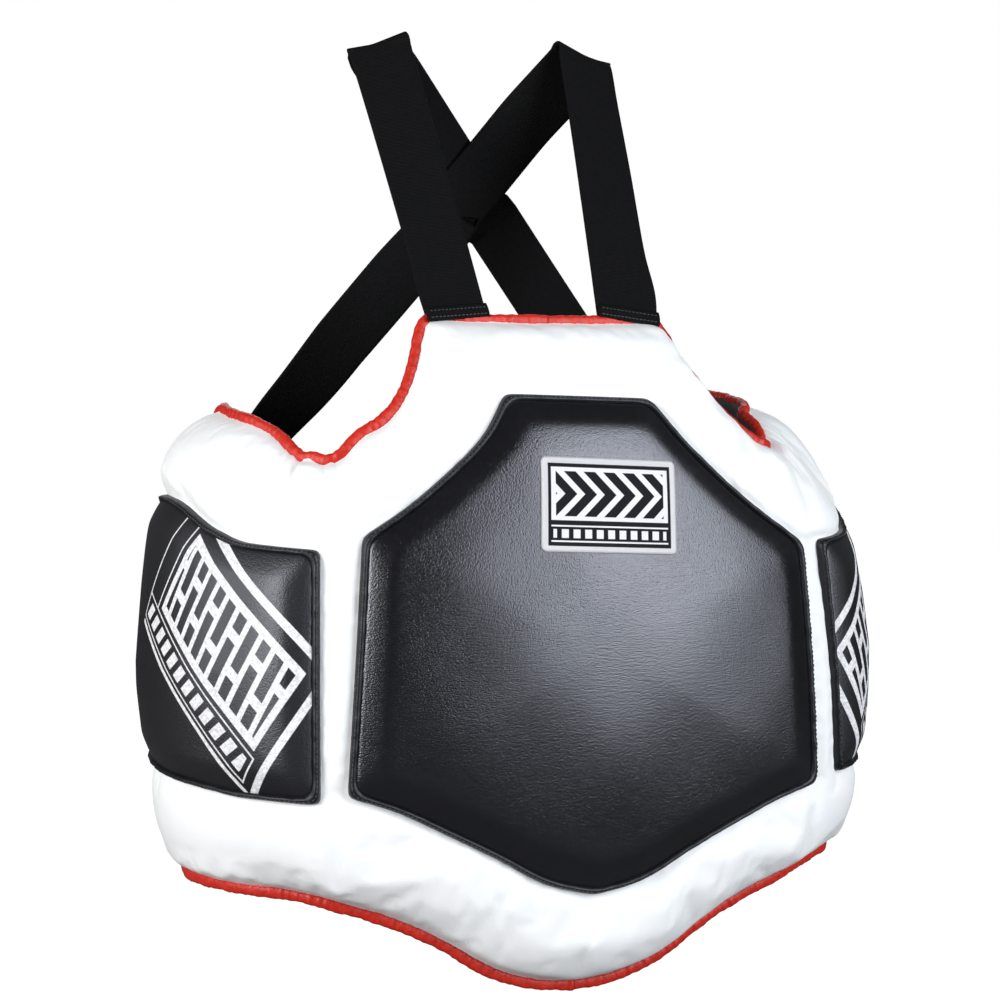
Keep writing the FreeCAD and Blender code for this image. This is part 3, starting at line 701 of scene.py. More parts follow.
def printed_leather(side):
    """Black leather with a worn white athletic print: framed slanted blocks over a dashed band."""
    m = black_leather(f"black_leather_print_{side}")
    s, z = m.axes()
    run, up = abs(s) - PRINT_CORNER[0], z - PRINT_CORNER[1]
    cross = math.sin(PRINT_DOWN - PRINT_ALONG)

    def slanted(angle, sense):
        """Distance along one of the print's two directions."""
        return run * (sense * math.sin(angle) / cross) + up * (-sense * math.cos(angle) / cross)

    def block(p_low, p_high, q_low, q_high):
        return p.bar(p_low, p_high) * q.bar(q_low, q_high)

    p, q = slanted(PRINT_DOWN, 1), slanted(PRINT_ALONG, -1)
    sway = (p - 70.0) / 80.0
    q = q - sway * sway * 6.0
    slant = p + q * 0.10
    strokes = block(20, 143, 21, 73) * slant.stripes(12.4, 0.66)
    notches = any_of(block(20, 143, 33, 40) * slant.stripes(24.8, 0.34),
                     block(20, 143, 52, 59) * (slant + 12.4).stripes(24.8, 0.34))
    panel = block(15, 148, 15, 79).less(strokes.less(notches))
    dashes = block(17, 168, 87, 99.5) * (p - q * 0.35).stripes(13.0, 0.6)
    mask = any_of(panel, dashes, *(block(*sides) for sides in PRINT_FRAME + PRINT_LINES))
    wear = m.noise(0.35, 8.0, 0.80).ramp(0.44, 0.56, 0.66, 1.0)
    specks = m.noise(1.3, 6.0, 0.75).ramp(0.34, 0.42, 0.45, 1.0)
    worn = mask * (wear * specks)
    m.colour(worn, m.base, (0.86, 0.86, 0.88))
    m.rough(worn.ramp(0, 1, 0.40, 0.60))
    return m


LABEL_SIZE = (0.107, 0.069)


def woven_label():
    """Black and white woven badge: a framed row of chevrons over a ruled band."""
    m = Shader("woven_label", (0.02, 0.02, 0.025), 0.8, Specular_IOR_Level=0.1)
    x, y = m.axes()
    half_w, half_h = (size / 2 / MM for size in LABEL_SIZE)
    border = any_of(abs(x).ramp(half_w - 4.8, half_w - 4.4), abs(y).ramp(half_h - 4.4, half_h - 4.0))
    chevrons = (x + abs(y - 8.0)).stripes(15.5, 0.6, 0.15) * x.bar(-43, 43, 0.15) * y.bar(-8.5, 24.5, 0.15)
    across_window = x.bar(-46.5, 46.5, 0.15)
    window = (across_window * y.bar(-11.5, 27.5, 0.15)).less(chevrons)
    rules = across_window * any_of(y.bar(-16.2, -15.0, 0.1), y.bar(-27.4, -26.2, 0.1))
    blocks = y.bar(-24.4, -18, 0.15) * x.bar(-45, 45, 0.15) * x.stripes(9.0, 0.6, 0.15)
    mask = any_of(border, window, rules, blocks)
    fuzz = m.noise(2.5, 3.0, 0.7)
    m.bump((x.wave(0.45) + y.wave(0.6)) * 0.25 + fuzz + mask * 0.8, 0.12)
    tone = fuzz.ramp(0.3, 0.7)
    white = m.mix(tone, (0.66, 0.66, 0.68), (0.84, 0.84, 0.85))
    black = m.mix(tone, (0.008, 0.008, 0.011), (0.018, 0.018, 0.023))
    m.colour(mask, black, m.mix(border, white, (0.62, 0.62, 0.64)))
    return m


def fuzzy(name, colour, scale, depth):
    m = Shader(name, colour, 0.85, Sheen_Weight=0.5, Sheen_Roughness=0.6)
    m.bump(m.noise(scale, 6.0, 0.75), depth)
    m.colour(m.noise(scale, 4.0).ramp(0.3, 0.7), scaled(colour, 0.5), scaled(colour, 1.6))
    return m


WHITE = white_leather().material
BLACK = black_leather().material
WELT = black_leather("welt_leather", (0.38, 0.48), 0.4).material
PRINT = {side: printed_leather(side).material for side, _ in SIDES}
RED = binding_tape().material
WEB = webbing("strap_webbing", (0.0026, 0.0026, 0.003)).material
ELASTIC = webbing("belt_elastic", (0.02, 0.02, 0.022), rib=2.4, depth=0.5, upright=True).material
LINING = lining_fabric().material
LABEL = woven_label().material
LOOP = fuzzy("loop_pile", (0.02, 0.02, 0.022), 1.2, 0.8).material
HOOK = fuzzy("hook_field", (0.014, 0.014, 0.016), 0.7, 0.6).material
BLACK_THREAD = thread("black_thread", (0.03, 0.03, 0.034)).material
RED_THREAD = thread("red_thread", (0.40, 0.012, 0.008)).material
EDGE_THREAD = thread("label_thread", (0.66, 0.66, 0.68)).material


# ================================================================ camera, light, stage
AIM = Vector((-0.0585, 0.0, 0.3703))
VIEW_AZ, VIEW_EL, VIEW_ROLL = -22.78, 0.25, -0.73      # degrees
VIEW_DISTANCE = 1.901
LENS = 92.1
FLOOR_RADIUS, FLOOR_DROP = 12.0, 0.002


def direction(azimuth, elevation):
    """Unit vector towards a place seen at that azimuth from the front, and elevation."""
    a, e = rad(azimuth), rad(elevation)
    return Vector((math.sin(a) * math.cos(e), -math.cos(a) * math.cos(e), math.sin(e)))


def add_camera():
    camera = bpy.data.objects.new("camera", bpy.data.cameras.new("camera"))
    scene.collection.objects.link(camera)
    camera.data.lens, camera.data.sensor_width = LENS, 36.0
    camera.data.clip_end = 50
    back = direction(VIEW_AZ, VIEW_EL)
    level = (-back).cross(Vector((0, 0, 1))).normalized()
    upright = level.cross(-back)
    c, s = math.cos(rad(VIEW_ROLL)), math.sin(rad(VIEW_ROLL))
    right, up = level * c + upright * s, upright * c - level * s
    turn = Matrix((right, up, back)).transposed().to_4x4()
    camera.matrix_world = Matrix.Translation(AIM + back * VIEW_DISTANCE) @ turn
    scene.camera = camera


def add_softbox(name, azimuth, elevation, distance, size, power, colour=(1, 1, 1)):
    light = bpy.data.lights.new(name, "AREA")
    light.shape, light.size, light.size_y = "RECTANGLE", *size
    light.energy, light.color = power, colour
    obj = bpy.data.objects.new(name, light)
    scene.collection.objects.link(obj)
    away = direction(azimuth, elevation)
    obj.matrix_world = (Matrix.Translation(AIM + away * distance)
                        @ away.to_track_quat("Z", "Y").to_matrix().to_4x4())


def add_floor():
    """Round pale floor just under the hem, white to the camera and darker to reflections."""
    ring = np.linspace(0, TAU, 24, endpoint=False)
    mesh = bpy.data.meshes.new("floor")
    mesh.from_pydata([(FLOOR_RADIUS * math.cos(a), FLOOR_RADIUS * math.sin(a), cad_low.z - FLOOR_DROP)
                      for a in ring], [], [list(range(len(ring)))])
    floor = bpy.data.objects.new("floor", mesh)
    scene.collection.objects.link(floor)
    paint = Shader("floor_white", (0.20, 0.20, 0.20), 0.9, Emission_Color=(1, 1, 1, 1),
                   Specular_IOR_Level=0.0)
    paint.feed(paint.bsdf.inputs["Emission Strength"],
               paint.node("ShaderNodeLightPath").outputs["Is Camera Ray"])
    mesh.materials.append(paint.material)


def add_surround():
    """Even white behind the object, which lights it only a little."""
    world = bpy.data.worlds.new("studio")
    scene.world = world
    world.use_nodes = True
    nodes, links = world.node_tree.nodes, world.node_tree.links
    path, blend = nodes.new("ShaderNodeLightPath"), nodes.new("ShaderNodeMixShader")
    links.new(path.outputs["Is Camera Ray"], blend.inputs[0])
    for slot, background, colour, strength in (
            (1, nodes["Background"], (0.97, 0.985, 1.0, 1), 0.10),
            (2, nodes.new("ShaderNodeBackground"), (1, 1, 1, 1), 1.0)):
        background.inputs["Color"].default_value = colour
        background.inputs["Strength"].default_value = strength
        links.new(background.outputs[0], blend.inputs[slot])
    links.new(blend.outputs[0], nodes["World Output"].inputs["Surface"])
    scene.view_settings.view_transform = "Standard"
    scene.view_settings.look = "None"


add_camera()
add_floor()
add_surround()
add_softbox("softbox_right", 31, 11, 2.3, (1.4, 1.75), 62, (0.92, 0.955, 1.0))
add_softbox("softbox_left", -61, 11, 2.2, (0.8, 1.3), 42)
add_softbox("softbox_side", -100, 10, 2.4, (1.2, 1.5), 20)
add_softbox("softbox_back", 160, 25, 2.6, (1.8, 1.4), 12)


# ================================================================ padded shell
ROUND_CHEST, ROUND_WING, ROUND_REAR = 0.042, 0.056, 0.013
COVER_EDGE = EDGE_H + 0.001
LINING_EDGE, LINING_ROUND = EDGE_H - 0.0015, 0.016
EDGE_LEDGE = 0.0034     # the cover lies flat this far under the binding
SEWN = 0.0055           # and is held this far in while it settles
BELT_LOW, BELT_HIGH = 0.205, 0.325
BELT_A = rad(131)       # the belt's panels begin here
BELT_MARGIN, BELT_RISE = 0.012, 0.010
BELT_SINK = 0.0022      # how far the belt's panels press the shell
PAD_SINK = 0.0032       # how far a pad's seam draws the shell in

CENTRE_PAD = smoothed(evened(centre_pad_loop(), 560), 6)
SIDE_PAD = {side: smoothed(evened(side_pad_loop(sign), 430), 6) for side, sign in SIDES}


def shell_layout(columns=184, rows=104):
    """Flat grid over the whole shell, finer towards its edges; shares run rear to rear."""
    t = np.linspace(0, 1, columns)
    share = t + 0.10 * np.sin(math.pi * t)
    top, hem = resample(TOP_EDGE, share), resample(HEM_EDGE, share)
    v = np.linspace(0, 1, rows)
    v = 0.55 * v + 0.45 * (0.5 - 0.5 * np.cos(math.pi * v))
    half = hem[:, None] + (top - hem)[:, None] * v[None, :, None]
    return np.concatenate([half[:0:-1] * np.array([-1, 1]), half])


def shell_edges(flat):
    """Distance of each flat point from the top or hem edge, and from the rear edge."""
    folded = np.stack([np.abs(flat[..., 0]), flat[..., 1]], -1)
    return near(folded, np.vstack([TOP_EDGE, HEM_EDGE])), near(folded, REAR_EDGE)


def pad_gap(flat):
    """Distance outside the nearest strike pad, negative within one."""
    gap = np.inf
    for loop in (CENTRE_PAD, *SIDE_PAD.values()):
        away = near(flat, loop)
        gap = np.minimum(gap, np.where(inside(flat, loop), -away, away))
    return gap


def puckers(flat, rim):
    """Gathers that run in from the bound edges, strongest where the armhole meets the wing."""
    s, z = flat[..., 0], flat[..., 1]
    a, upper = np.abs(s), z > 0.25
    seed = np.where(s < 0, 0.0, 0.9)
    fold = np.sin(TAU * (a / 0.0140 + seed) + 2.2 * np.sin(TAU * (a / 0.047 + seed)))
    length = 0.013 + 0.012 * np.sin(a / 0.0067) ** 2
    deep = 0.0065 * bell(a, 0.212, 0.026) * upper * fold * bell(rim, 0, length) * dome(rim, 0.006)
    small = np.sin(TAU * a / 0.0093 + 2.5 * np.sin(TAU * a / 0.061))
    light = 0.00045 * small * bell(rim, 0, 0.011) * dome(rim, 0.004)
    tug = 0.0016 * bell(a, 0.100, 0.012) * upper * np.sin(TAU * z / 0.013) * bell(rim, 0, 0.016)
    return deep + light + tug


def shell_height(flat):
    """Height of the white cover at each flat point, and what it keeps clear of."""
    s, z = flat[..., 0], flat[..., 1]
    a = np.abs(s)
    rim, rear = shell_edges(flat)
    gap = pad_gap(flat)
    # the chest's edge at the left armhole is thinner
    armhole = smoothstep(0.39, 0.43, z) * smoothstep(0.085, 0.105, s) * smoothstep(0.20, 0.17, s)
    reach = ROUND_CHEST + (ROUND_WING - ROUND_CHEST) * smoothstep(0.17, 0.26, a) - 0.016 * armhole
    ledge = EDGE_LEDGE * (1 - 0.5 * armhole)
    full = dome(rim - ledge, reach) * dome(rear - EDGE_LEDGE, ROUND_REAR)
    crease = bell(a, girth(FLEX_A), 0.007)
    above_pads = smoothstep(0.23, 0.30, a) * smoothstep(0.50, 0.42, a) * smoothstep(0.25, 0.30, z)
    swell = 0.0006 * np.sin(s / 0.031 + 1.1) * np.sin(z / 0.027)
    swell = swell + 0.006 * above_pads * smoothstep(0.001, 0.018, gap)
    belt = smoothstep(-BELT_MARGIN, 0, a - girth(BELT_A)) \
        * smoothstep(-BELT_MARGIN, BELT_RISE - BELT_MARGIN, z - BELT_LOW) \
        * smoothstep(-BELT_MARGIN, BELT_RISE - BELT_MARGIN, BELT_HIGH - z)
    height = (COVER_EDGE - PAD_SINK * bell(np.clip(gap, 0, 1), 0, 0.008)
              + full * (COVER_H - COVER_EDGE - 0.0016 * crease + swell * (gap > 0) - BELT_SINK * belt))
    return height + puckers(flat, np.minimum(rim, rear)), np.minimum(rim, rear), gap


def under_belt(flat):
    """Where the belt's panels lie on the rear of the wings."""
    s, z = flat[..., 0], flat[..., 1]
    return (np.abs(s) > girth(BELT_A)) & (z > BELT_LOW - BELT_MARGIN) & (z < BELT_HIGH + BELT_MARGIN)


def relax(obj, held, frames=16, pressure=2.0, slack=-0.014, limit=0.0035):
    """Lets a cover settle as cloth under pressure between its seams, keeping moves short."""
    start = coordinates(obj.data)
    group = obj.vertex_groups.new(name="seams")
    group.add([int(i) for i in np.flatnonzero(held)], 1.0, "REPLACE")
    cloth = obj.modifiers.new("cloth", "CLOTH")
    settings = cloth.settings
    settings.quality, settings.mass, settings.air_damping = 5, 0.12, 3.0
    settings.tension_stiffness = settings.compression_stiffness = 22
    settings.shear_stiffness, settings.bending_stiffness = 10, 1.2
    settings.vertex_group_mass = "seams"
    settings.use_pressure, settings.uniform_pressure_force = True, pressure
    settings.shrink_min = slack
    settings.effector_weights.gravity = 0
    cloth.collision_settings.use_collision = False
    cloth.point_cache.frame_start, cloth.point_cache.frame_end = 1, frames
    for number in range(1, frames + 1):
        scene.frame_set(number)
    settled = obj.evaluated_get(bpy.context.evaluated_depsgraph_get())
    step = coordinates(settled.to_mesh()) - start
    settled.to_mesh_clear()
    obj.modifiers.remove(cloth)
    scene.frame_set(1)
    size = np.linalg.norm(step, axis=1, keepdims=True)
    step *= limit * np.tanh(size / limit) / np.maximum(size, 1e-9)
    obj.data.vertices.foreach_set("co", (start + step).ravel())
    obj.data.update()


def refine(obj):
    """One level of subdivision, applied."""
    modifier = obj.modifiers.new("fine", "SUBSURF")
    modifier.levels = modifier.render_levels = 1
    modifier.uv_smooth = "NONE"
    mesh = bpy.data.meshes.new_from_object(obj.evaluated_get(bpy.context.evaluated_depsgraph_get()))
    obj.modifiers.remove(modifier)
    old, obj.data = obj.data, mesh
    bpy.data.meshes.remove(old)


def halves(obj, name):
    """Cuts a mesh at x = 0 along its middle edges, keeping the normals of the whole."""
    normals = np.array([n.vector for n in obj.data.vertex_normals])

    def keep_side(bm):
        """Deletes the other side's faces and lists the old numbers of the corners left."""
        bm.verts.layers.int.new("whole")
        whole = bm.verts.layers.int["whole"]
        for v in bm.verts:
            v[whole] = v.index
        other = [f for f in bm.faces if f.calc_center_median().x * sign < 0]
        bmesh.ops.delete(bm, geom=other, context="FACES")
        kept = [v[whole] for v in bm.verts]
        bm.verts.layers.int.remove(whole)
        return kept

    for side, sign in SIDES:
        mesh = obj.data.copy()
        kept = edited(mesh, keep_side)
        mesh.normals_split_custom_set_from_vertices(normals[kept].tolist())
        part = bpy.data.objects.new(name.format(side), mesh)
        scene.collection.objects.link(part)
        yield side, part
    bpy.data.objects.remove(obj)


FLEX_REACH = 0.017      # the ends of the bend's axis lie this far either side of its pivot; no bend is applied


def flex(obj, side):
    """Bakes a piece's transform and works out the axis where its wing joins the chest, without bending it.
    """
    pivot = place(girth(FLEX_A), 0.25, FLEX_H)
    ahead = FLEX_REACH * np.array([math.cos(FLEX_A), math.sin(FLEX_A), 0])
    start, end = (p if side == "left" else p * MIRROR for p in (pivot - ahead, pivot + ahead))
    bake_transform(obj)
    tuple(start)
    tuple(end)


def shell_nodes(side, *layers):
    """CAD nodes of one half's layers; the chest's belong to the left half."""
    bodies = ["left_wing", "chest"] if side == "left" else ["right_wing"]
    return [f"{body}_{layer}" for body in bodies for layer in layers]


def build_shell():
    flat = shell_layout()
    height, edge, gap = shell_height(flat)
    s, z = flat[..., 0], flat[..., 1]
    cover = Pile().grid(place(s, z, height), flat).make("cover", WHITE)
    held = (edge < SEWN) | (gap < 0) | under_belt(flat)
    relax(cover, held.ravel())
    refine(cover)
    for side, part in halves(cover, "{}_cover"):
        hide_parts(*shell_nodes(side, "cover", "impact_foam", "comfort_foam"))
        flex(part, side)

    waves = 0.0004 * np.sin(s / 0.021) * np.sin(z / 0.024) * (edge > 0.02)
    inner = LINING_EDGE * (1 - dome(edge, LINING_ROUND)) + waves
    lining = Pile().grid(place(s, z, inner), flat, flip=True).make("lining", LINING)
    for side, part in halves(lining, "{}_lining"):
        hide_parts(*shell_nodes(side, "lining"))
        flex(part, side)


build_shell()


# ================================================================ bound edges
TAPE_WIDTH, TAPE_DEPTH = 0.0100, 0.0072
TAPE_IN, HEM_DROP = 0.0010, 0.0017   # the tape sits a little inside the edge, but lower at the hem


def build_binding(side, sign):
    """Folded tape all round one half's edge, with its row of stitches."""
    line = resample(HALF_EDGE, int(lengths(HALF_EDGE)[-1] / 0.0016))
    along = lengths(line)
    path = place(sign * line[:, 0], line[:, 1], EDGE_H)
    face = outward(sign * line[:, 0], line[:, 1])
    wrinkle = ripple(along, (0.0071, 0.011, 0.019), 11 + sign)
    slow = ripple(along, (0.043, 0.071), 5 + sign)
    path = path + face * (0.00045 * slow)[:, None]
    outside = unit(np.cross(face, unit(np.gradient(path, axis=0)))) * sign
    below = smoothstep(0.30, 0.20, line[:, 1])[:, None]
    path = path + outside * (HEM_DROP * below - TAPE_IN)
    tape = tube(Pile(), path, face, TAPE_WIDTH * (1 + 0.05 * wrinkle + 0.05 * slow),
                TAPE_DEPTH * (1 + 0.09 * ripple(along, (0.0053, 0.009), 3 + sign)), sides=20)
    tape = tape.make(f"{side}_binding", RED)
    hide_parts(f"{side}_armhole_binding", f"{side}_wing_top_binding",
                f"{side}_wing_rear_binding", f"{side}_wing_hem_binding",
                *(("neck_binding", "chest_hem_binding") if side == "left" else ()))
    flex(tape, side)

    row = (path + face * TAPE_DEPTH * 0.44 - outside * TAPE_WIDTH * 0.26)[6:-6]
    seam = stitches(Pile(), row, face[6:-6], 0.0034, 0.0026, 0.00034)
    flex(seam.make(f"{side}_binding_stitches", RED_THREAD), side)


for side_name, side_sign in SIDES:
    build_binding(side_name, side_sign)


# ================================================================ strike pads
# height h by distance in from the outline, both in mm
WELT_PROFILE = [(0.0, 39.0), (0.15, 42.6), (0.7, 44.6), (1.6, 45.7), (2.8, 45.9), (3.9, 45.2),
                (4.7, 44.0), (5.0, 41.5)]
WELT_ROW = 3            # the stitches follow this point of the profile
PAD_PROFILE = [(3.6, 41.0), (4.2, 43.2), (5.0, 43.9), (7.0, 44.8), (9.5, 45.9), (12.0, 46.9),
               (14.5, 47.8), (17.0, 48.7), (19.5, 49.5), (22.0, 50.1), (25.0, 50.5), (29.0, 50.8)]
CROWN_RINGS = 33        # rings from the bevel to the middle of a pad


def inset_rings(loop, distances):
    """Loops moved in by each distance, kept smooth and evenly spaced."""
    centre = loop.mean(0)
    rings, now, ring = [], 0.0, loop
    for d in distances:
        while now < d - 1e-9:
            step = min(0.0008, d - now)
            ahead = unit(np.roll(ring, -1, 0) - np.roll(ring, 1, 0))
            normal = np.stack([-ahead[:, 1], ahead[:, 0]], -1)
            if (normal * (centre - ring)).sum() < 0:
                normal = -normal
            ring = smoothed(evened(ring + normal * step, len(ring)), 2)
            now += step
        rings.append(ring)
    return rings


def pad_rings(loop, profile):
    """Flat rings that follow a height profile, and their heights."""
    distances, heights = (np.array(profile) * MM).T
    return inset_rings(loop, distances), list(heights)


def wrapped(name, rings, heights, material):
    """Mesh of closed flat rings at given heights."""
    flat = np.stack(rings)
    return Pile().grid(place(flat[..., 0], flat[..., 1], heights),
                       np.concatenate([flat, flat[:, :1]], 1), (False, True)).make(name, material)


def close_centre(bm, sides):
    """Fills the hole left in the middle of a pad by its last ring."""
    face = bm.faces.new(list(bm.verts)[-sides:])
    face.smooth = True
    face.normal_update()
    layer = bm.loops.layers.uv["flat"]
    for corner in face.loops:
        other = next(c for c in corner.vert.link_loops if c.face is not face)
        corner[layer].uv = other[layer].uv
    bmesh.ops.recalc_face_normals(bm, faces=bm.faces)


def face_away(mesh):
    """Turns a strip's faces so that they point away from the body's middle."""
    co = coordinates(mesh)
    away = co - np.array([0, 0.16, 0])
    away[:, 2] = 0
    if sum(p.normal.dot(Vector(away[p.vertices[0]])) for p in mesh.polygons) < 0:
        mesh.flip_normals()


def build_pad(name, loop, body, material, crown, nodes, welt_node, seed):
    """Strike pad with a bevel and a crown, its welt, and the stitches on the welt."""
    rings, heights = pad_rings(loop, PAD_PROFILE)
    last, centre, top = rings[-1], rings[-1].mean(0), heights[-1]
    for share in np.linspace(1, 0.02, CROWN_RINGS + 1)[1:]:
        rings.append(centre + (last - centre) * share)
        heights.append(top + crown * (1 - share**2))
    s, z = np.moveaxis(np.stack(rings), -1, 0)
    h = np.array(heights)[:, None]
    uneven = 0.00035 * np.sin(s / 0.019 + seed) * np.sin(z / 0.023)
    pad = wrapped(name, rings, h + uneven * smoothstep(0.050, 0.052, h), material)
    edited(pad.data, lambda bm: close_centre(bm, len(loop)))
    attach(pad, body, "black_leather", *nodes)

    rings, heights = pad_rings(loop, WELT_PROFILE)
    h = np.array(heights)[:, None]
    wavy = 0.00028 * ripple(lengths(ring_closed(loop))[:-1], (0.013, 0.029), seed)
    h = h + wavy[None] * (h > 0.044)
    welt = wrapped(name + "_welt", rings, h, WELT)
    face_away(welt.data)
    attach(welt, body, "black_leather", welt_node)

    s, z = ring_closed(rings[WELT_ROW]).T
    row = place(s, z, np.append(h[WELT_ROW], h[WELT_ROW, 0]))
    seam = stitches(Pile(), row, outward(s, z), 0.0036, 0.0024, 0.00036, raised=0.5)
    attach(seam.make(name + "_stitches", BLACK_THREAD), body, "black_leather")
    return pad


centre_pad = build_pad("centre_pad", CENTRE_PAD, "chest", BLACK, 0.0045,
                       ("chest_pad_foam", "chest_pad_cover"), "chest_pad_welt", 1)
for side_name, side_sign in SIDES:
    build_pad(f"{side_name}_side_pad", SIDE_PAD[side_name], f"{side_name}_wing", PRINT[side_name],
              0.0028, (f"{side_name}_pad_foam", f"{side_name}_pad_cover"), f"{side_name}_pad_welt",
              2 + side_sign)


# ================================================================ label
LABEL_MIDDLE = (0.009, 0.365)
LABEL_TILT = 2.5
LABEL_GRID = (96, 64)
LABEL_CORNER = 0.004
OVERLOCK_STEP = 0.0011


def build_label():
    """Woven badge with an overlocked edge, lying on the centre pad."""
    tree = BVHTree.FromPolygons(coordinates(centre_pad.data).tolist(),
                                [tuple(p.vertices) for p in centre_pad.data.polygons])
    half = np.array(LABEL_SIZE) / 2
    nu, nv = LABEL_GRID
    u, v = np.meshgrid(np.linspace(-1, 1, nu), np.linspace(-1, 1, nv), indexing="ij")
    x, y = rounded(u * half[0], v * half[1], half, LABEL_CORNER)
    c, t = math.cos(rad(LABEL_TILT)), math.sin(rad(LABEL_TILT))
    s = across(LABEL_MIDDLE[0], FACE_H) + x * c + y * t
    z = LABEL_MIDDLE[1] - x * t + y * c
    from_edge = np.minimum(half[0] * (1 - np.abs(u)), half[1] * (1 - np.abs(v)))
    rim = np.sqrt(np.clip(1 - (1 - from_edge / 0.0018) ** 2, 0, 1)) * (from_edge < 0.0036)
    raised = 0.0005 + 0.0006 * dome(from_edge, 0.0008) + 0.0006 * rim
    starts, away = place(s, z, 0.09), outward(s, z)
    points = np.empty_like(starts)
    for i in np.ndindex(s.shape):
        hit = tree.ray_cast(Vector(starts[i]), Vector(-away[i]))[0]
        points[i] = np.array(hit) + away[i] * raised[i]
    flat = np.stack([x, y], -1)
    badge = Pile().grid(points, flat)

    # skirt that closes the gap between the badge's rim and the pad
    round_i = [*range(nu), *[nu - 1] * (nv - 1), *range(nu - 2, -1, -1), *[0] * (nv - 2)]
    round_j = [*[0] * nu, *range(1, nv), *[nv - 1] * (nu - 1), *range(nv - 2, 0, -1)]
    foot = points - away * (raised[..., None] + 0.0003)
    path, up = points[round_i, round_j], away[round_i, round_j]
    skirt = np.stack([foot[round_i, round_j], path], 1)
    skirt_flat = np.repeat(ring_closed(flat[round_i, round_j])[:, None], 2, 1)
    badge.grid(skirt, skirt_flat, (True, False), flip=True)
    attach(badge.make("label", LABEL), "chest", "woven_label", "label_patch")

    centre = points.reshape(-1, 3).mean(0)
    path, up = ring_closed(path), ring_closed(up)
    along = lengths(path)
    at = np.linspace(0, along[-1], int(along[-1] / OVERLOCK_STEP), endpoint=False)
    right, top = np.array([c, 0, -t]), np.array([t, 0, c])
    overlock = Pile()
    for spot, up in zip(sample(path, along, at), unit(sample(up, along, at))):
        out_x, out_y = (spot - centre) @ right, (spot - centre) @ top
        at_side = abs(out_x) - half[0] > abs(out_y) - half[1]
        toward = -np.sign(out_x) * right if at_side else -np.sign(out_y) * top
        start, end = spot - toward * 0.0004 - up * 0.0002, spot + toward * 0.0032 + up * 0.0004
        arch = 0.0005 * np.sin(np.linspace(0, math.pi, 5))
        line = np.linspace(start, end, 5) + up * arch[:, None]
        tube(overlock, line, np.repeat(up[None], 5, 0), 0.0009, 0.0007, sides=6, power=2)
    attach(overlock.make("label_overlock", EDGE_THREAD), "chest", "woven_label")


build_label()


# ================================================================ shoulder straps
STRAP_WIDTH, STRAP_THICK = 0.050, 0.0022
STRAP_LOW = np.array([0.0685, 0.0265, 0.5068])
FOLD_IN, FOLD_OUT = np.array([0.0625, 0.142, 0.736]), np.array([0.1095, 0.142, 0.716])
FOLD_RADIUS = 0.0045
CROSS_GAP = 0.0033
END_ANGLE, END_Z = rad(137), 0.392
ANCHOR_LOW, ANCHOR_HIGH = 0.268, 0.330
SPLINE_WEIGHTS = np.array([1, 1, 1, .05, .05, .05, .05])    # centre, span, width


def facing(v, axis, sense=1):
    """Unit vector along v, turned to point the given way along an axis."""
    return unit(v) * np.sign(v[axis]) * sense


def strap_stations(sign):
    """Rows of centre, span direction, normal and width along one strap."""
    sideways = np.array([1.0, 0, 0])
    fold, fold_span = (FOLD_IN + FOLD_OUT) / 2, FOLD_OUT - FOLD_IN
    wide = float(np.linalg.norm(fold_span))
    end = place(-girth(END_ANGLE), END_Z, -0.006)
    cross = fold + (end - fold) * fold[0] / (fold[0] - end[0]) - np.array([0, sign * CROSS_GAP, 0])
    last = place(-(girth(END_ANGLE) + 0.012), ANCHOR_LOW + 0.008, -0.0030)
    front_normal = facing(np.cross(unit(fold - STRAP_LOW), fold_span), 1, -1)
    back_normal = facing(np.cross(unit(end - fold), fold_span), 1)

    # up the front, a little wider just above the neck
    rows = [(STRAP_LOW, sideways, STRAP_WIDTH)]
    bulge = 0.0016 if sign > 0 else 0.0004
    for share in (0.10, 0.25, 0.55, 0.85):
        at = STRAP_LOW + (fold + front_normal * FOLD_RADIUS - STRAP_LOW) * share
        at = at + np.array([bulge * bell(share, 0.1, 0.08), -0.002 * math.sin(math.pi * share), 0])
        span = unit(sideways * (1 - share) + unit(fold_span) * share)
        rows.append((at, span, STRAP_WIDTH + 2 * bulge * bell(share, 0.1, 0.09)))
    # over the fold at the shoulder
    for share in (0.0, 0.25, 0.5, 0.75, 1.0):
        normal = unit(front_normal * (1 - share) + back_normal * share
                      + np.array([0, 0, 0.9]) * math.sin(math.pi * share))
        rows.append((fold + normal * FOLD_RADIUS, unit(fold_span), wide))
    # down to the crossing
    tilt = facing(np.cross(unit(end - fold), back_normal), 0)
    behind = fold + back_normal * FOLD_RADIUS
    for share in (0.22, 0.6):
        ease = smoothstep(0, 0.8, share)
        rows.append((behind + (cross - behind) * share, unit(unit(fold_span) * (1 - ease) + tilt * ease),
                     wide + (STRAP_WIDTH - wide) * ease))
    # and on to the far wing, where it lies flat on the lining
    wall = outward(-girth(END_ANGLE), END_Z)
    flat_span = facing(np.cross(unit(end - cross), wall), 0)
    last_span = facing(np.cross(unit(last - end), wall), 0)
    rows += [(cross, tilt, STRAP_WIDTH),
             (cross + (end - cross) * 0.55, unit(tilt * 0.85 + flat_span * 0.15), STRAP_WIDTH),
             (end, flat_span, STRAP_WIDTH), (last, last_span, STRAP_WIDTH)]

    packed = spline([np.array([*c, *s, w]) * SPLINE_WEIGHTS for c, s, w in rows], 0.004)
    flip = np.array([sign, 1, 1])
    centre, span, width = packed[:, :3] * flip, unit(packed[:, 3:6] * flip), packed[:, 6] / 0.05
    # both straps lean over with the neck, and above it the left one leans as far as the right
    x, z = centre[:, 0], centre[:, 2]
    centre[:, 0] += slump(x - 0.1 * (z > 0.6), z)
    ahead = unit(np.gradient(centre, axis=0))
    span = square_to(span, ahead)
    return centre, span, unit(np.cross(ahead, span)), width


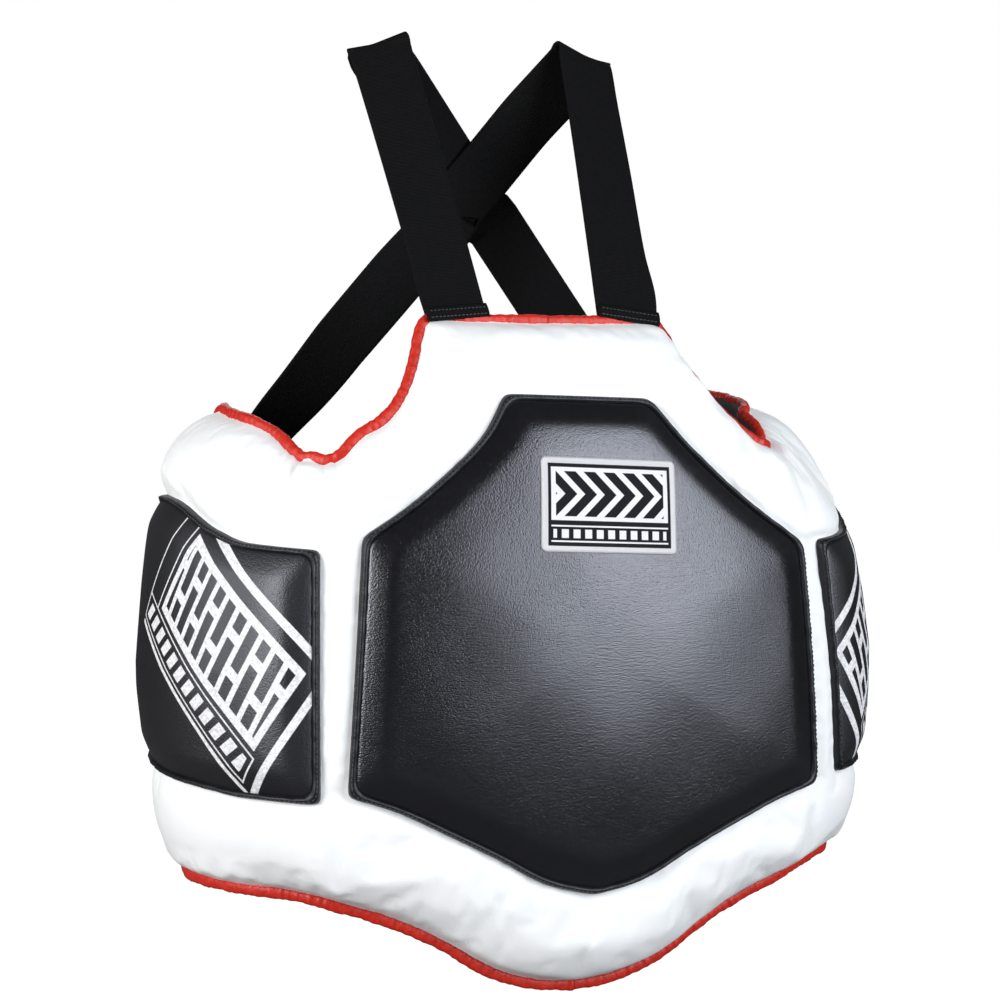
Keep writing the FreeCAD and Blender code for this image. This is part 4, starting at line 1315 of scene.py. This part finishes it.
def build_strap(side, sign):
    """One strap, and its end at the neck, turned over the edge and stitched down."""
    centre, span, normal, width = strap_stations(sign)
    strap = ribbon(centre, span, normal, width, STRAP_THICK, 16)
    strap = strap.make(f"{side}_strap", WEB, outwards=True)
    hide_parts(f"{side}_shoulder_strap")
    path = unit(np.array([-sign * 1.0, 0.5, -0.2]))
    path * 0.055
    path * 0.150
    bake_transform(strap)

    share = np.linspace(-0.06, 1, 9)
    middle = centre[0] + (centre[3] - centre[0]) * share[:, None]
    middle[:, 1] -= 0.0040 + 0.0012 * np.sin(math.pi * np.clip(share, 0, 1))
    end = ribbon(middle, *(np.repeat(v[:1], len(middle), 0) for v in (span, normal)),
                 STRAP_WIDTH + 0.0016, 0.0030, 16)
    attach(end.make(f"{side}_strap_end", WEB, outwards=True), "chest", "webbing",
           f"{side}_strap_fold")
    sewn = Pile()
    for row in (2, 6):
        reach = span[0] * 0.0235
        line = np.linspace(middle[row] - reach, middle[row] + reach, 20) + np.array([0, -0.0016, 0])
        stitches(sewn, line, np.repeat([[0, -1.0, 0]], 20, 0), 0.0031, 0.0023, 0.00038)
    attach(sewn.make(f"{side}_strap_end_stitches", BLACK_THREAD), "chest", "webbing")


def build_anchor(side, sign):
    """Webbing patch sewn to the wing's lining over the far strap's end."""
    s, half = sign * girth(END_ANGLE), rad(9) * WING_R
    piece = patch(s - half, s + half, ANCHOR_LOW, ANCHOR_HIGH, -0.0058, -0.0040)
    attach(piece.make(f"{side}_strap_patch", WEB, outwards=True), f"{side}_wing", "webbing",
           f"{side}_strap_anchor")
    sewn = boxed_cross(s - half + 0.005, s + half - 0.005, ANCHOR_LOW + 0.006, ANCHOR_HIGH - 0.006,
                       -0.0059, -1, 16, 0.0036, 0.0026, 0.0004)
    attach(sewn.make(f"{side}_strap_patch_stitches", BLACK_THREAD), f"{side}_wing", "webbing")


for build in (build_strap, build_anchor):
    for side_name, side_sign in SIDES:
        build(side_name, side_sign)


# ================================================================ back closure
HOOK_A, LOOP_A, PANEL_END = rad(142), rad(133), rad(155)
BELT_H = 0.0469
BELT_MIDDLE = (BELT_LOW + BELT_HIGH) / 2
BELT_PARTS = (("loop_pile_panel", LOOP, "left_wing", "hook_and_loop", "loop_panel",
               girth(LOOP_A), girth(PANEL_END) - 0.004, BELT_LOW, BELT_HIGH, 0.0416, 0.0440, 0.006),
              ("hook_field_panel", HOOK, "closure_belt", "hook_and_loop", "hook_panel",
               girth(HOOK_A), girth(PANEL_END) - 0.005, BELT_LOW + 0.002, BELT_HIGH - 0.002,
               0.0442, 0.0458, 0.005),
              ("pull_tab_leather", BLACK, "closure_belt", "tab_leather", "pull_tab",
               girth(HOOK_A - rad(8)), girth(HOOK_A) + 0.004, 0.245, 0.285, 0.0462, 0.0490, 0.008))
BELT_STITCHES = (("belt_anchor_stitches", "right_wing", -1, 142.5, 152.5, 0.0462),
                 ("belt_end_stitches", "closure_belt", 1, 143.0, 153.0, 0.0482))


def belt_line():
    """Middle of the elastic: on the right wing, round its rear end, across, onto the hooks."""
    def at(degrees, h):
        return place(girth(rad(degrees)), BELT_MIDDLE, h)

    sewn = [at(a, 0.0445 + (BELT_H - 0.0445) * k / 4) * MIRROR
            for k, a in enumerate((141, 145, 149, 153, 157.5))]
    over = [at(a, BELT_H) for a in (157.5, 154, 150, 146, 141.8)]
    between = [sewn[-1] + (over[0] - sewn[-1]) * k for k in (0.12, 0.35, 0.65, 0.88)]
    for p in between:
        p[1] = sewn[-1][1] + 0.0006
    return spline(sewn + between + over, 0.004)


def bend_belt(obj):
    """Bakes the elastic's transform and works out the pivot where it leaves the right wing, without
    bending it.
    """
    pivot = place(girth(WING_A), BELT_MIDDLE, 0.048) * MIRROR
    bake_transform(obj)


def build_closure():
    for name, material, body, slot, node, *place_and_size, corner in BELT_PARTS:
        slab = patch(*place_and_size, corner=corner).make(name, material, outwards=True)
        attach(slab, body, slot, node)

    centre = belt_line()
    span = np.repeat([[0.0, 0.0, 1.0]], len(centre), 0)
    normal = unit(np.cross(unit(np.gradient(centre, axis=0)), span))
    centre = centre + normal * (0.0002 * np.sin(lengths(centre) / 0.004))[:, None]
    elastic = ribbon(centre, span, normal, BELT_HIGH - BELT_LOW, 0.0022, 40)
    elastic = elastic.make("belt_elastic", ELASTIC, outwards=True)
    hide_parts("closure_elastic", "belt_anchor")
    bend_belt(elastic)
    edges = Pile()
    for z in (BELT_LOW + 0.0012, BELT_HIGH - 0.0012):
        line = centre.copy()
        line[:, 2] = z
        tube(edges, line, normal, 0.0034, 0.0036, sides=10)
    bend_belt(edges.make("belt_edges", WEB, outwards=True))

    for name, body, sign, first, last, h in BELT_STITCHES:
        a, b = sign * girth(rad(first)), sign * girth(rad(last))
        sewn = boxed_cross(a, b, BELT_LOW + 0.008, BELT_HIGH - 0.008, h, 1, 24, 0.0038, 0.0028, 0.00042)
        attach(sewn.make(name, BLACK_THREAD), body, "elastic")


build_closure()
